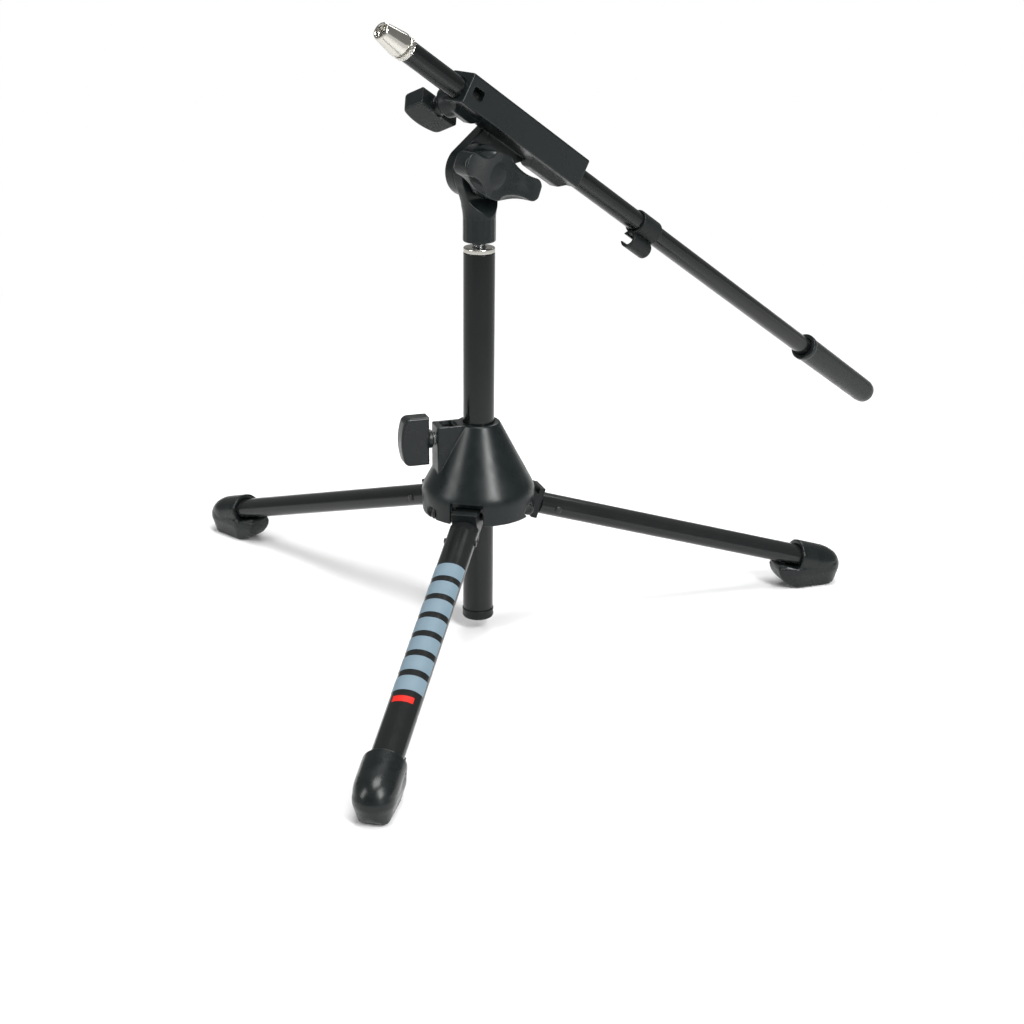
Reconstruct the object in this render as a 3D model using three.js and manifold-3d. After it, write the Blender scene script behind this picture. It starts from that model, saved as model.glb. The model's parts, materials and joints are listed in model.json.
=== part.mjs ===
// Desktop microphone stand: folding tripod, sliding column, tilting boom clamp and boom arm.
// Millimetres, +Z up, the floor at z = 0, the boom in the XZ plane with its tip towards -X.
import * as THREE from 'three';
import { mergeVertices } from 'three/addons/utils/BufferGeometryUtils.js';
import Module from 'manifold-3d';

const wasm = await Module();
wasm.setup();

// ---------------------------------------------------------------- driving dimensions
const GAP = 0.3; // clearance between pieces that touch on the real stand
const COLUMN_R = 11; // 22 mm column tube
const COLUMN_WALL = 1.25;
const COLUMN_BOTTOM = 8.5; // lower end of the column above the floor
const COLUMN_TOP = 281.4;
const END_CAP = { r: 11.5, height: 7, plug: 14 };
const INSERT = { flange: 3.3, plug: 26 };
const STUD_R = 4.75; // 3/8 inch
const STUD_EXPOSED = 4;

const HUB = { topZ: 159.6, topR: 15, wideZ: 110.6, wideR: 41, bottomZ: 93.6, bottomR: 40.3, wall: 3.4 };
const SLEEVE = { r: 15, bottomZ: 98 }; // inner guide of the column
const HUB_ROOF = 26; // depth of the cavity's roof below the top
const BOSS = { azimuth: 156.2, reach: 32.5, width: 17, floorZ: 115, studDrop: 10 };
const NUT_POCKET = { from: 19, to: 26.4, nutAt: 19.4 };
const NUT_WINDOW = { from: 17, to: 28, half: 5.2, deep: 1.6 };
const SHOE = { r: 5, thick: 2.6, clearance: 0.4 };
const NUT = { flats: 13, thick: 6.5 }; // M8 hexagon nut
const M8_R = 4;

const LEG_AZIMUTHS = { front: 216.2, right: 336.2, left: 96.2 };
const LEG_DROOP = 17.47; // degrees below horizontal
const LEG_PIN = { r: 29.5, z: 98, shank: 2.5, head: 4, headIn: 26.8, headThick: 2.6, farEnd: 15.5 };
const LEG_TUBE = { halfW: 10.6, halfH: 7.85, wall: 1.3, start: 16.3, end: 271 };
const LEG_SLOT = { half: 11.7, topZ: 110, lip: 3.5, stopR: 30.5 };
const SEAT = { innerR: 14, rise: 12, pinBossR: 5.6 };
const CHEEK = 3.4; // thickness of the webs that carry a leg pin
const FITTING = { half: 9, lugR: 8, collarFrom: 11.6, collarTo: 16, collarUp: 13, collarDown: 10, spigotEnd: 48 };
const RIVET = { x: 30, shank: 1.7, head: 2.5, headHeight: 0.8 };
const FOOT = { half: 14.25, heelHalf: 10, heelR: 242.5, heelZ: 19.5, mouthR: 262.5, outerR: 299, topZ: 37.3 };
const SOLE = { from: 262, to: 286 };

const KNOB = { half: 17.5, depth: 20.5, thick: 12.5, neckR: 6.6, neck: 3.2, standoff: 2.2, flat: 0.64, stud: 0.58 };

const BARREL = { r: 11.4, height: 18, sides: 16, bore: 14 };
const PIVOT_Z = 335.5;
const BASE_DISC = { r: 19, near: 4, far: 5 };
const WASHER = { r: 17, thick: 1, smallR: 11 };
const HEAD_DISC = { r: 17.5, inner: 6.6, outer: 16 };
const RIM_JOIN = 0.45; // angle, in radians, where a disc's rim meets its flanks
const BOLT = { head: 4, headR: 8, tip: 18 };

const BOOM_ANGLE = THREE.MathUtils.degToRad(32.4);
const BOOM_CROSS_Z = 380.5; // height where the boom axis crosses the column axis
const BOOM_R = 7.5;
const BOOM_WALL = 1.2;
const BOOM_FRONT = 73.7;
const GRIP = { from: -433, to: -545, r: 10.6, mouthR: 11.3, mouth: 4, inside: -536 };
const BLOCK = { front: 24, rear: -104, half: 11.5, top: 12, bottom: -9.5 };
const NECK = { front: -19, rear: -69 };
const LOBE = { section: [[-13, -2], [-13, -9], [-9, -14], [-1, -14], [3, -9.5], [3, -2]], slope: 5 };
const LOBES = [[-6, 22], [-102, -60]]; // stretches of the two saddle lobes along the boom
const SCREW = { s: 14, bossR: 10.5, bossFrom: 8, bossTo: 17.5, lean: 28 }; // clamp screw of the boom
const WINDOW = { w: 10, h: 7, z: 1.5 };
const CLIP = { from: -205, to: -183, r: 9.4, loopR: 6.6, loopBore: 4.5, drop: 14.2, slit: 5.8 };
const HANDLE = { hubR: 16.5, foot: 6, crown: 20, reach: 37, angle: 22.5 };
const FIN = { from: 12.6, to: 26, rootHalf: 9, tipHalf: 8, corner: 8, start: -10 };
const RING = { from: 74, to: 78, r: 8.5 };
const CONE = { from: 79.6, to: 98.5, rBase: 8.6, rTip: 6.1, socketR: 4.2, socket: 11, spigotFrom: 52, groove: 1.4 };

// ---------------------------------------------------------------- finishes
const finish = (color, roughness, metalness) => ({ color, roughness, metalness });
const BLACK_CASTING = finish(0x1d2021, 0.48, 0.1);
const BLACK_PAINT = finish(0x191b1c, 0.38, 0.3);
const BLACK_PLASTIC = finish(0x222526, 0.5, 0);
const RUBBER = finish(0x202322, 0.8, 0);
const NICKEL = finish(0xc9c8c2, 0.22, 1);
const ZINC = finish(0x9a9c9c, 0.4, 1);
const BLACK_STEEL = finish(0x2a2c2c, 0.4, 0.6);

// ---------------------------------------------------------------- helpers
const rad = THREE.MathUtils.degToRad;
const range = (n) => [...Array(n).keys()];

// Turns a closed geometry's faces outwards if they face in.
function outward(geometry) {
  const p = geometry.attributes.position;
  const index = geometry.index ? geometry.index.array : range(p.count);
  const [a, b, c] = [new THREE.Vector3(), new THREE.Vector3(), new THREE.Vector3()];
  let volume = 0;
  for (let i = 0; i < index.length; i += 3) {
    a.fromBufferAttribute(p, index[i]);
    b.fromBufferAttribute(p, index[i + 1]);
    c.fromBufferAttribute(p, index[i + 2]);
    volume += a.dot(b.cross(c));
  }
  if (volume < 0) {
    const flipped = [];
    for (let i = 0; i < index.length; i += 3) flipped.push(index[i], index[i + 2], index[i + 1]);
    geometry.setIndex(flipped);
  }
  return geometry;
}

// A solid of revolution about +Z from [radius, z] points; a ring's outline closes on itself.
function turned(points, segments) {
  const profile = points.map(([r, z]) => new THREE.Vector2(r, z));
  if (points[0][0] > 0) profile.push(profile[0].clone());
  return outward(new THREE.LatheGeometry(profile, segments).rotateX(Math.PI / 2));
}

const bar = (r, z0, z1, segments = 16) => turned([[0, z0], [r, z0], [r, z1], [0, z1]], segments);
const ring = (inner, outer, z0, z1, segments = 24) =>
  turned([[inner, z0], [outer, z0], [outer, z1], [inner, z1]], segments);
const box = (x0, x1, y0, y1, z0, z1) =>
  new THREE.BoxGeometry(x1 - x0, y1 - y0, z1 - z0).translate((x0 + x1) / 2, (y0 + y1) / 2, (z0 + z1) / 2);
const alongX = (geometry) => geometry.rotateY(Math.PI / 2);
const alongY = (geometry) => geometry.rotateX(-Math.PI / 2);

function polygon(points) {
  const shape = new THREE.Shape();
  points.forEach(([x, y], i) => (i ? shape.lineTo(x, y) : shape.moveTo(x, y)));
  return shape;
}

// Extrudes an outline drawn in XZ across y0..y1.
function acrossY(shape, y0, y1, curveSegments = 16) {
  const settings = { depth: y1 - y0, bevelEnabled: false, curveSegments };
  return new THREE.ExtrudeGeometry(shape, settings).rotateX(Math.PI / 2).translate(0, y1, 0);
}

// Extrudes an outline drawn in YZ across x0..x1.
function acrossX(shape, x0, x1, curveSegments = 16) {
  const settings = { depth: x1 - x0, bevelEnabled: false, curveSegments };
  const basis = new THREE.Matrix4().makeBasis(
    new THREE.Vector3(0, 1, 0), new THREE.Vector3(0, 0, 1), new THREE.Vector3(1, 0, 0));
  return new THREE.ExtrudeGeometry(shape, settings).applyMatrix4(basis).translate(x0, 0, 0);
}

function solid(geometry) {
  const bare = geometry.clone();
  bare.deleteAttribute('normal');
  bare.deleteAttribute('uv');
  const merged = mergeVertices(bare, 1e-4);
  const vertProperties = new Float32Array(merged.attributes.position.array);
  const triVerts = new Uint32Array(merged.index.array);
  return new wasm.Manifold(new wasm.Mesh({ numProp: 3, vertProperties, triVerts }));
}

const joined = (...geometries) => geometries.map(solid).reduce((sum, next) => sum.add(next));
const cut = (body, ...tools) => tools.map(solid).reduce((rest, tool) => rest.subtract(tool), body);

function shapeOf(manifold) {
  const { vertProperties, triVerts } = manifold.getMesh();
  const geometry = new THREE.BufferGeometry();
  geometry.setAttribute('position', new THREE.BufferAttribute(new Float32Array(vertProperties), 3));
  geometry.setIndex([...triVerts]);
  return geometry;
}

function piece(parent, name, geometry, look) {
  geometry.computeVertexNormals();
  const mesh = new THREE.Mesh(geometry, new THREE.MeshStandardMaterial(look));
  mesh.name = name;
  parent.add(mesh);
  return mesh;
}

function frame(parent, position, rotation = [0, 0, 0]) {
  const group = new THREE.Group();
  group.position.set(...position);
  group.rotation.set(...rotation);
  parent.add(group);
  return group;
}

const hexagon = (flats) => {
  const corner = flats / Math.sqrt(3);
  return polygon(range(6).map((i) => [corner * Math.cos(rad(60 * i)), corner * Math.sin(rad(60 * i))]));
};

// ---------------------------------------------------------------- hub
const studZ = HUB.topZ - BOSS.studDrop;
const spin = (geometry, degrees) => geometry.rotateZ(rad(degrees));
const coneR = (z) => HUB.topR + ((HUB.topZ - z) * (HUB.wideR - HUB.topR)) / (HUB.topZ - HUB.wideZ);

function hubOutline() {
  return turned([
    [0, HUB.bottomZ], [HUB.bottomR, HUB.bottomZ], [HUB.wideR, HUB.wideZ],
    [HUB.topR, HUB.topZ], [0, HUB.topZ],
  ], 48);
}

// The room under the cone, between the outer wall and the column guide.
function hubCavity() {
  const roofZ = HUB.topZ - HUB_ROOF;
  return turned([
    [SLEEVE.r, HUB.bottomZ - 1], [HUB.bottomR - HUB.wall, HUB.bottomZ - 1],
    [HUB.wideR - HUB.wall, HUB.wideZ], [coneR(roofZ) - HUB.wall, roofZ], [SLEEVE.r, roofZ],
  ], 32);
}

// Webs, pin bosses and the stop bar of one leg, later trimmed to the hub's outline.
function legSeat(azimuth) {
  const out = LEG_SLOT.half + CHEEK;
  const walls = [-1, 1].map((side) => {
    const [y0, y1] = [side * LEG_SLOT.half, side * out].sort((a, b) => a - b);
    return box(SEAT.innerR, HUB.wideR, y0, y1, HUB.bottomZ, HUB.wideZ + SEAT.rise);
  });
  const stop = box(LEG_SLOT.stopR, HUB.wideR, -out, out, LEG_PIN.z + FITTING.lugR + 0.5, HUB.wideZ + SEAT.rise);
  const pinBoss = alongY(bar(SEAT.pinBossR, -HUB.wideR, -LEG_SLOT.half)).translate(LEG_PIN.r, 0, LEG_PIN.z);
  return [...walls, stop, pinBoss].map((part) => spin(part, azimuth));
}

function legCuts(azimuth) {
  const slot = box(HUB.bottomR - HUB.wall - 3, HUB.wideR + 2, -LEG_SLOT.half, LEG_SLOT.half,
    HUB.bottomZ - 1, LEG_SLOT.topZ - LEG_SLOT.lip);
  const slotTop = box(HUB.bottomR - HUB.wall, HUB.wideR + 2, -LEG_SLOT.half, LEG_SLOT.half,
    HUB.bottomZ - 1, LEG_SLOT.topZ);
  const bore = alongY(bar(LEG_PIN.shank + GAP, -HUB.wideR, LEG_PIN.farEnd + GAP));
  const counterbore = alongY(bar(LEG_PIN.head + 0.5, -HUB.wideR, -LEG_PIN.headIn + LEG_PIN.headThick + GAP));
  [bore, counterbore].forEach((tool) => tool.translate(LEG_PIN.r, 0, LEG_PIN.z));
  return [slot, slotTop, bore, counterbore].map((tool) => spin(tool, azimuth));
}

function hubHousing() {
  const azimuths = Object.values(LEG_AZIMUTHS);
  const shell = cut(solid(hubOutline()), hubCavity(),
    bar(SLEEVE.r + 1, HUB.bottomZ - 1, SLEEVE.bottomZ));
  const seats = joined(...azimuths.flatMap(legSeat)).intersect(solid(hubOutline()));
  const clampBoss = box(0, BOSS.reach, -BOSS.width / 2, BOSS.width / 2, BOSS.floorZ, HUB.topZ);
  const body = shell.add(seats).add(solid(spin(clampBoss, BOSS.azimuth)));
  const pocketHalf = NUT.flats / 2 + GAP;
  const nutPocket = box(NUT_POCKET.from, NUT_POCKET.to, -pocketHalf, pocketHalf,
    studZ - NUT.flats / Math.sqrt(3) - GAP, HUB.topZ + 1);
  const window = box(NUT_WINDOW.from, NUT_WINDOW.to, -NUT_WINDOW.half, NUT_WINDOW.half,
    HUB.topZ - NUT_WINDOW.deep, HUB.topZ + 1);
  const studBore = alongX(bar(M8_R + GAP, COLUMN_R, BOSS.reach + 1)).translate(0, 0, studZ);
  const shoeBore = alongX(bar(SHOE.r + SHOE.clearance, COLUMN_R - 3, NUT_WINDOW.from + SHOE.clearance))
    .translate(0, 0, studZ);
  const clampCuts = [nutPocket, window, studBore, shoeBore].map((tool) => spin(tool, BOSS.azimuth));
  const columnBore = bar(COLUMN_R + GAP, HUB.bottomZ - 1, HUB.topZ + 1, 40);
  return shapeOf(cut(body, columnBore, ...clampCuts, ...azimuths.flatMap(legCuts)));
}

// ---------------------------------------------------------------- clamp screws
// A D-shaped wing with a round neck, on +X, its inner face at x = 0.
function wingKnob() {
  const { half, depth } = KNOB;
  const outline = new THREE.Shape();
  outline.moveTo(0, -half);
  outline.lineTo(depth * KNOB.flat, -half);
  outline.bezierCurveTo(depth * 0.8, -half, depth * 0.88, -half * 0.9, depth * 0.91, -half * 0.76);
  outline.bezierCurveTo(depth * 0.97, -half * 0.5, depth, -half * 0.25, depth, 0);
  outline.bezierCurveTo(depth, half * 0.25, depth * 0.97, half * 0.5, depth * 0.91, half * 0.76);
  outline.bezierCurveTo(depth * 0.88, half * 0.9, depth * 0.8, half, depth * KNOB.flat, half);
  outline.lineTo(0, half);
  const wing = acrossY(outline, -KNOB.thick / 2, KNOB.thick / 2, 5);
  const neck = alongX(bar(KNOB.neckR, -KNOB.neck, 2, 24));
  const bore = alongX(bar(M8_R + GAP, -KNOB.neck - 1, KNOB.depth * (KNOB.stud + 0.05)));
  return shapeOf(cut(joined(wing, neck), bore));
}

// Adds a knob, its stud and its pressure shoe to a frame whose +X points out along the screw.
function clampScrew(parent, names, shoeFrom, boreMouth) {
  const wingAt = boreMouth + KNOB.standoff + KNOB.neck;
  const shoeTo = shoeFrom + SHOE.thick;
  piece(parent, names.shoe, alongX(bar(SHOE.r, shoeFrom, shoeTo)), BLACK_PLASTIC);
  piece(parent, names.stud, alongX(bar(M8_R, shoeTo + GAP, wingAt + KNOB.depth * KNOB.stud)), ZINC);
  piece(parent, names.knob, wingKnob(), BLACK_PLASTIC).position.x = wingAt;
}

function addHub(stand) {
  piece(stand, 'hub_housing', hubHousing(), BLACK_CASTING);
  const clamp = frame(stand, [0, 0, studZ], [0, 0, rad(BOSS.azimuth)]);
  const nut = acrossX(hexagon(NUT.flats), NUT_POCKET.nutAt, NUT_POCKET.nutAt + NUT.thick);
  const bore = alongX(bar(M8_R + GAP, NUT_POCKET.from - 1, NUT_POCKET.to + 1));
  piece(clamp, 'height_clamp_nut', shapeOf(cut(solid(nut.rotateX(Math.PI / 6)), bore)), ZINC);
  const names = { shoe: 'height_clamp_shoe', stud: 'height_knob_stud', knob: 'height_knob' };
  clampScrew(clamp, names, COLUMN_R + 2 * GAP, BOSS.reach);
}

// ---------------------------------------------------------------- legs
function oval(halfW, halfH) {
  const shape = new THREE.Shape();
  shape.absellipse(0, 0, halfW, halfH, 0, 2 * Math.PI, false, 0);
  return shape;
}

function legTube() {
  const outline = oval(LEG_TUBE.halfW, LEG_TUBE.halfH);
  outline.holes.push(oval(LEG_TUBE.halfW - LEG_TUBE.wall, LEG_TUBE.halfH - LEG_TUBE.wall));
  const tube = solid(acrossX(outline, LEG_TUBE.start, LEG_TUBE.end, 14));
  const rivetHole = alongY(bar(RIVET.shank + GAP, -LEG_TUBE.halfW - 1, LEG_TUBE.halfW + 1, 16));
  return shapeOf(cut(tube, rivetHole.translate(RIVET.x, 0, 0)));
}

// Pivot lug, collar against the hub and the spigot that the tube is riveted to.
function legFitting() {
  const lug = new THREE.Shape();
  lug.moveTo(FITTING.collarFrom + 1, -FITTING.lugR);
  lug.lineTo(FITTING.collarFrom + 1, FITTING.lugR);
  lug.lineTo(0, FITTING.lugR);
  lug.absarc(0, 0, FITTING.lugR, Math.PI / 2, 1.5 * Math.PI, false);
  const collar = box(FITTING.collarFrom, FITTING.collarTo, -FITTING.half, FITTING.half,
    -FITTING.collarDown, FITTING.collarUp);
  const inset = LEG_TUBE.wall + GAP;
  const spigot = acrossX(oval(LEG_TUBE.halfW - inset, LEG_TUBE.halfH - inset),
    FITTING.collarTo - 1, FITTING.spigotEnd, 8);
  const body = joined(acrossY(lug, -FITTING.half, FITTING.half), collar, spigot);
  const pinBore = alongY(bar(LEG_PIN.shank + GAP, -20, 20));
  const rivetBore = alongY(bar(RIVET.shank + GAP, -20, 20, 16)).translate(RIVET.x, 0, 0);
  return shapeOf(cut(body, pinBore, rivetBore));
}

function legPin() {
  const headEnd = -LEG_PIN.headIn + LEG_PIN.headThick;
  return alongY(turned([
    [0, -LEG_PIN.headIn], [LEG_PIN.head - 0.8, -LEG_PIN.headIn], [LEG_PIN.head, -LEG_PIN.headIn + 0.8],
    [LEG_PIN.head, headEnd], [LEG_PIN.shank, headEnd], [LEG_PIN.shank, LEG_PIN.farEnd], [0, LEG_PIN.farEnd],
  ], 16));
}

function legRivet() {
  const under = LEG_TUBE.halfW + GAP;
  const top = under + RIVET.headHeight;
  const half = [[RIVET.shank, under], [RIVET.head, under], [RIVET.head * 0.6, top], [0, top]];
  const mirrored = [...half].reverse().map(([r, y]) => [r, -y]);
  return alongY(turned([...mirrored, ...half], 12));
}

// Plan of the boot: round toe, straight sides and a heel that narrows under the tube.
const soleOutline = () => {
  const toe = FOOT.outerR - FOOT.half;
  const plan = new THREE.Shape();
  plan.moveTo(FOOT.heelR - 1, -FOOT.heelHalf);
  plan.lineTo(FOOT.mouthR - 2, -FOOT.half);
  plan.lineTo(toe, -FOOT.half);
  plan.absarc(toe, 0, FOOT.half, -Math.PI / 2, Math.PI / 2, false);
  plan.lineTo(FOOT.mouthR - 2, FOOT.half);
  plan.lineTo(FOOT.heelR - 1, FOOT.heelHalf);
  return plan;
};

// Side view of the boot: sole, rounded toe, sloping top, and the heel that hugs the tube.
const bootProfile = () => {
  const { mouthR, outerR, topZ, heelR, heelZ } = FOOT;
  const side = new THREE.Shape();
  side.moveTo(SOLE.from, 0);
  side.lineTo(SOLE.to, 0);
  side.bezierCurveTo(SOLE.to + 9, 0, outerR + 1, 12, outerR - 1, heelZ - 0.5);
  side.bezierCurveTo(outerR - 3, 26, outerR - 8, 28, outerR - 12, 29);
  side.lineTo(mouthR, topZ);
  side.lineTo(mouthR - 3.5, heelZ - 2);
  side.lineTo(heelR + 1.5, heelZ + 2.5);
  side.lineTo(heelR, heelZ);
  side.bezierCurveTo(heelR + 1, 8, heelR + 10, 1, SOLE.from, 0);
  return side;
};

// The boot stands on the floor, so it is drawn in the upright frame of its leg.
function legFoot() {
  const settings = { depth: 50, bevelEnabled: false, curveSegments: 10 };
  const plan = new THREE.ExtrudeGeometry(soleOutline(), settings);
  const boot = solid(acrossY(bootProfile(), -20, 20, 7)).intersect(solid(plan.translate(0, 0, -1)));
  const socket = acrossX(oval(LEG_TUBE.halfW + GAP, LEG_TUBE.halfH + GAP), 200, LEG_TUBE.end + GAP, 12);
  socket.rotateY(rad(LEG_DROOP)).translate(LEG_PIN.r, 0, LEG_PIN.z);
  return shapeOf(cut(boot, socket));
}

function addLeg(stand, name, azimuth) {
  const upright = frame(stand, [0, 0, 0], [0, 0, rad(azimuth)]);
  const leg = frame(upright, [LEG_PIN.r, 0, LEG_PIN.z], [0, rad(LEG_DROOP), 0]);
  piece(leg, `${name}_leg_tube`, legTube(), BLACK_PAINT);
  piece(leg, `${name}_leg_fitting`, legFitting(), BLACK_PLASTIC);
  piece(leg, `${name}_leg_rivet`, legRivet(), BLACK_STEEL).position.x = RIVET.x;
  piece(upright, `${name}_leg_pin`, legPin(), BLACK_STEEL).position.set(LEG_PIN.r, 0, LEG_PIN.z);
  piece(upright, `${name}_foot`, legFoot(), RUBBER);
}

// ---------------------------------------------------------------- column
function addColumn(stand) {
  const bore = COLUMN_R - COLUMN_WALL;
  const tubeBottom = COLUMN_BOTTOM + END_CAP.height + GAP;
  const plugR = bore - GAP;
  const barrelBottom = COLUMN_TOP + INSERT.flange + STUD_EXPOSED;
  piece(stand, 'column_tube', ring(bore, COLUMN_R, tubeBottom, COLUMN_TOP - GAP, 40), BLACK_PAINT);
  piece(stand, 'column_end_cap', turned([
    [0, COLUMN_BOTTOM], [END_CAP.r - 1, COLUMN_BOTTOM], [END_CAP.r, COLUMN_BOTTOM + 1],
    [END_CAP.r, tubeBottom - GAP], [plugR, tubeBottom - GAP], [plugR, tubeBottom + END_CAP.plug],
    [0, tubeBottom + END_CAP.plug],
  ], 32), BLACK_PLASTIC);
  const flangeTop = COLUMN_TOP + INSERT.flange;
  piece(stand, 'column_insert', turned([
    [STUD_R + GAP, COLUMN_TOP - INSERT.plug], [plugR, COLUMN_TOP - INSERT.plug], [plugR, COLUMN_TOP],
    [COLUMN_R, COLUMN_TOP], [COLUMN_R, flangeTop - 0.6], [COLUMN_R - 0.6, flangeTop],
    [STUD_R + GAP, flangeTop],
  ], 32), NICKEL);
  piece(stand, 'thread_stud', bar(STUD_R, COLUMN_TOP - INSERT.plug + 2, barrelBottom + BARREL.bore - 2), ZINC);
  return barrelBottom;
}

// ---------------------------------------------------------------- swivel base
// Round barrel with flats, flaring into the friction disc that carries the boom clamp.
function swivelBase(bottom) {
  const shoulder = bottom + BARREL.height;
  const rise = PIVOT_Z - shoulder;
  const wide = BASE_DISC.r;
  const front = new THREE.Shape();
  front.moveTo(-BARREL.r, shoulder - 1);
  front.lineTo(BARREL.r, shoulder - 1);
  front.lineTo(BARREL.r, shoulder);
  front.lineTo(wide * Math.cos(RIM_JOIN), PIVOT_Z - wide * Math.sin(RIM_JOIN));
  front.absarc(0, PIVOT_Z, wide, -RIM_JOIN, Math.PI + RIM_JOIN, false);
  const side = polygon([
    [-BARREL.r, shoulder - 1], [BARREL.r, shoulder - 1], [BARREL.r, shoulder],
    [BASE_DISC.far, shoulder + rise * 0.34], [BASE_DISC.far, PIVOT_Z + wide + 1],
    [-BASE_DISC.near, PIVOT_Z + wide + 1], [-BASE_DISC.near, shoulder + rise * 0.4],
    [-BARREL.r, shoulder],
  ]);
  const skirt = turned([
    [0, shoulder - 1], [BARREL.r, shoulder - 1], [BARREL.r, shoulder], [wide + 1.5, PIVOT_Z],
    [wide + 1.5, PIVOT_Z + wide + 1], [0, PIVOT_Z + wide + 1],
  ], 32);
  const flare = solid(acrossY(front, -BARREL.r, BARREL.r, 24))
    .intersect(solid(acrossX(side, -wide - 1, wide + 1))).intersect(solid(skirt));
  const barrel = bar(BARREL.r, bottom, shoulder, BARREL.sides);
  const threadBore = bar(STUD_R + GAP, bottom - 1, bottom + BARREL.bore);
  const boltBore = alongY(bar(M8_R + GAP, -20, 20)).translate(0, 0, PIVOT_Z);
  return shapeOf(cut(flare.add(solid(barrel)), threadBore, boltBore));
}

// ---------------------------------------------------------------- boom clamp
// In the boom's frame: x towards the tip, y away from the friction disc, z square to the boom.
const pivot = {
  s: -(BOOM_CROSS_Z - PIVOT_Z) * Math.sin(BOOM_ANGLE),
  z: -(BOOM_CROSS_Z - PIVOT_Z) * Math.cos(BOOM_ANGLE),
};

function neckOutline() {
  const outline = new THREE.Shape();
  outline.moveTo(NECK.rear, BLOCK.bottom + 3);
  outline.lineTo(pivot.s - HEAD_DISC.r * Math.cos(RIM_JOIN), pivot.z + HEAD_DISC.r * Math.sin(RIM_JOIN));
  outline.absarc(pivot.s, pivot.z, HEAD_DISC.r, Math.PI - RIM_JOIN, 2 * Math.PI + 0.3, false);
  outline.lineTo(NECK.front, BLOCK.bottom + 3);
  return outline;
}

// One angular saddle lobe; its ends slope inwards towards the bottom.
function saddleLobe([from, to]) {
  const depths = LOBE.section.map(([, z]) => z);
  const [low, high] = [Math.min(...depths), Math.max(...depths)];
  const knee = low + LOBE.slope;
  const ends = polygon([
    [from, high], [from, knee], [from + LOBE.slope, low], [to - LOBE.slope, low], [to, knee], [to, high],
  ]);
  const bar = solid(acrossX(polygon(LOBE.section), from, to));
  return bar.intersect(solid(acrossY(ends, -BLOCK.half - LOBE.slope, BLOCK.half)));
}

// Lays a tool drawn along -Y on the leaning axis of the boom's clamp screw.
const onScrew = (tool) => tool.rotateX(rad(SCREW.lean)).translate(SCREW.s, 0, 0);

function boomClampBody() {
  const block = box(BLOCK.rear, BLOCK.front, -BLOCK.half, BLOCK.half, BLOCK.bottom, BLOCK.top);
  const neck = acrossY(neckOutline(), -HEAD_DISC.outer, -HEAD_DISC.inner, 24);
  const boss = onScrew(alongY(bar(SCREW.bossR, -SCREW.bossTo, -SCREW.bossFrom, 24)));
  const body = LOBES.map(saddleLobe).reduce((sum, lobe) => sum.add(lobe), joined(block, neck, boss));
  const boomBore = alongX(bar(BOOM_R + GAP, BLOCK.rear - 5, BLOCK.front + 5, 32));
  const window = box(SCREW.s - WINDOW.w / 2, SCREW.s + WINDOW.w / 2, BOOM_R - 1, BLOCK.half + 1,
    WINDOW.z - WINDOW.h / 2, WINDOW.z + WINDOW.h / 2);
  const studBore = onScrew(alongY(bar(M8_R + GAP, -SCREW.bossTo - 1, 0)));
  const shoeBore = onScrew(alongY(bar(SHOE.r + SHOE.clearance, -BOOM_R - 2 * SHOE.thick - 1, 0)));
  const boltBore = alongY(bar(M8_R + GAP, -20, 0)).translate(pivot.s, 0, pivot.z);
  return shapeOf(cut(body, boomBore, window, studBore, shoeBore, boltBore));
}

// Carriage bolt through both discs; its domed head bears on the clamp's outer side.
function tiltBolt() {
  const seat = -HEAD_DISC.outer - GAP;
  return alongY(turned([
    [0, seat - BOLT.head], [M8_R, seat - BOLT.head * 0.9], [BOLT.headR - 1, seat - BOLT.head * 0.55],
    [BOLT.headR, seat], [M8_R, seat], [M8_R, BOLT.tip], [0, BOLT.tip],
  ], 20));
}

// T-shaped handle: a domed hub with two fins that clear the side of the clamp body.
function tiltHandle() {
  const hub = alongY(turned([
    [0, HANDLE.foot], [HANDLE.hubR - 1, HANDLE.foot], [HANDLE.hubR, HANDLE.foot + 2],
    [HANDLE.hubR - 1, 12], [12, 16.5], [7, 19.2], [0, HANDLE.crown],
  ], 28));
  const straight = HANDLE.reach - FIN.corner;
  const span = new THREE.Shape();
  span.moveTo(FIN.start, -FIN.rootHalf);
  span.lineTo(straight, -FIN.tipHalf);
  span.bezierCurveTo(HANDLE.reach + 1.5, -FIN.tipHalf, HANDLE.reach + 1.5, FIN.tipHalf, straight, FIN.tipHalf);
  span.lineTo(FIN.start, FIN.rootHalf);
  const fin = acrossY(span, FIN.from, FIN.to, 10);
  const trim = new THREE.Shape();
  trim.moveTo(0, FIN.from - 1);
  trim.lineTo(HANDLE.reach - 4, FIN.from - 1);
  trim.bezierCurveTo(HANDLE.reach, 13, HANDLE.reach + 3, 20, HANDLE.reach - 2, FIN.to);
  trim.bezierCurveTo(24, FIN.to, 18, 20, 0, 18);
  const trimmer = new THREE.ExtrudeGeometry(trim, { depth: 24, bevelEnabled: false, curveSegments: 8 });
  const wing = solid(fin).intersect(solid(trimmer.translate(0, 0, -12)));
  const other = wing.rotate([0, 180, 0]);
  const hexPocket = new THREE.ExtrudeGeometry(hexagon(NUT.flats + 2 * GAP), { depth: 8, bevelEnabled: false });
  alongY(hexPocket.translate(0, 0, HANDLE.foot - 1));
  const bore = alongY(bar(M8_R + GAP, HANDLE.foot - 1, BOLT.tip + GAP));
  return shapeOf(cut(solid(hub).add(wing).add(other), hexPocket, bore));
}

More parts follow.
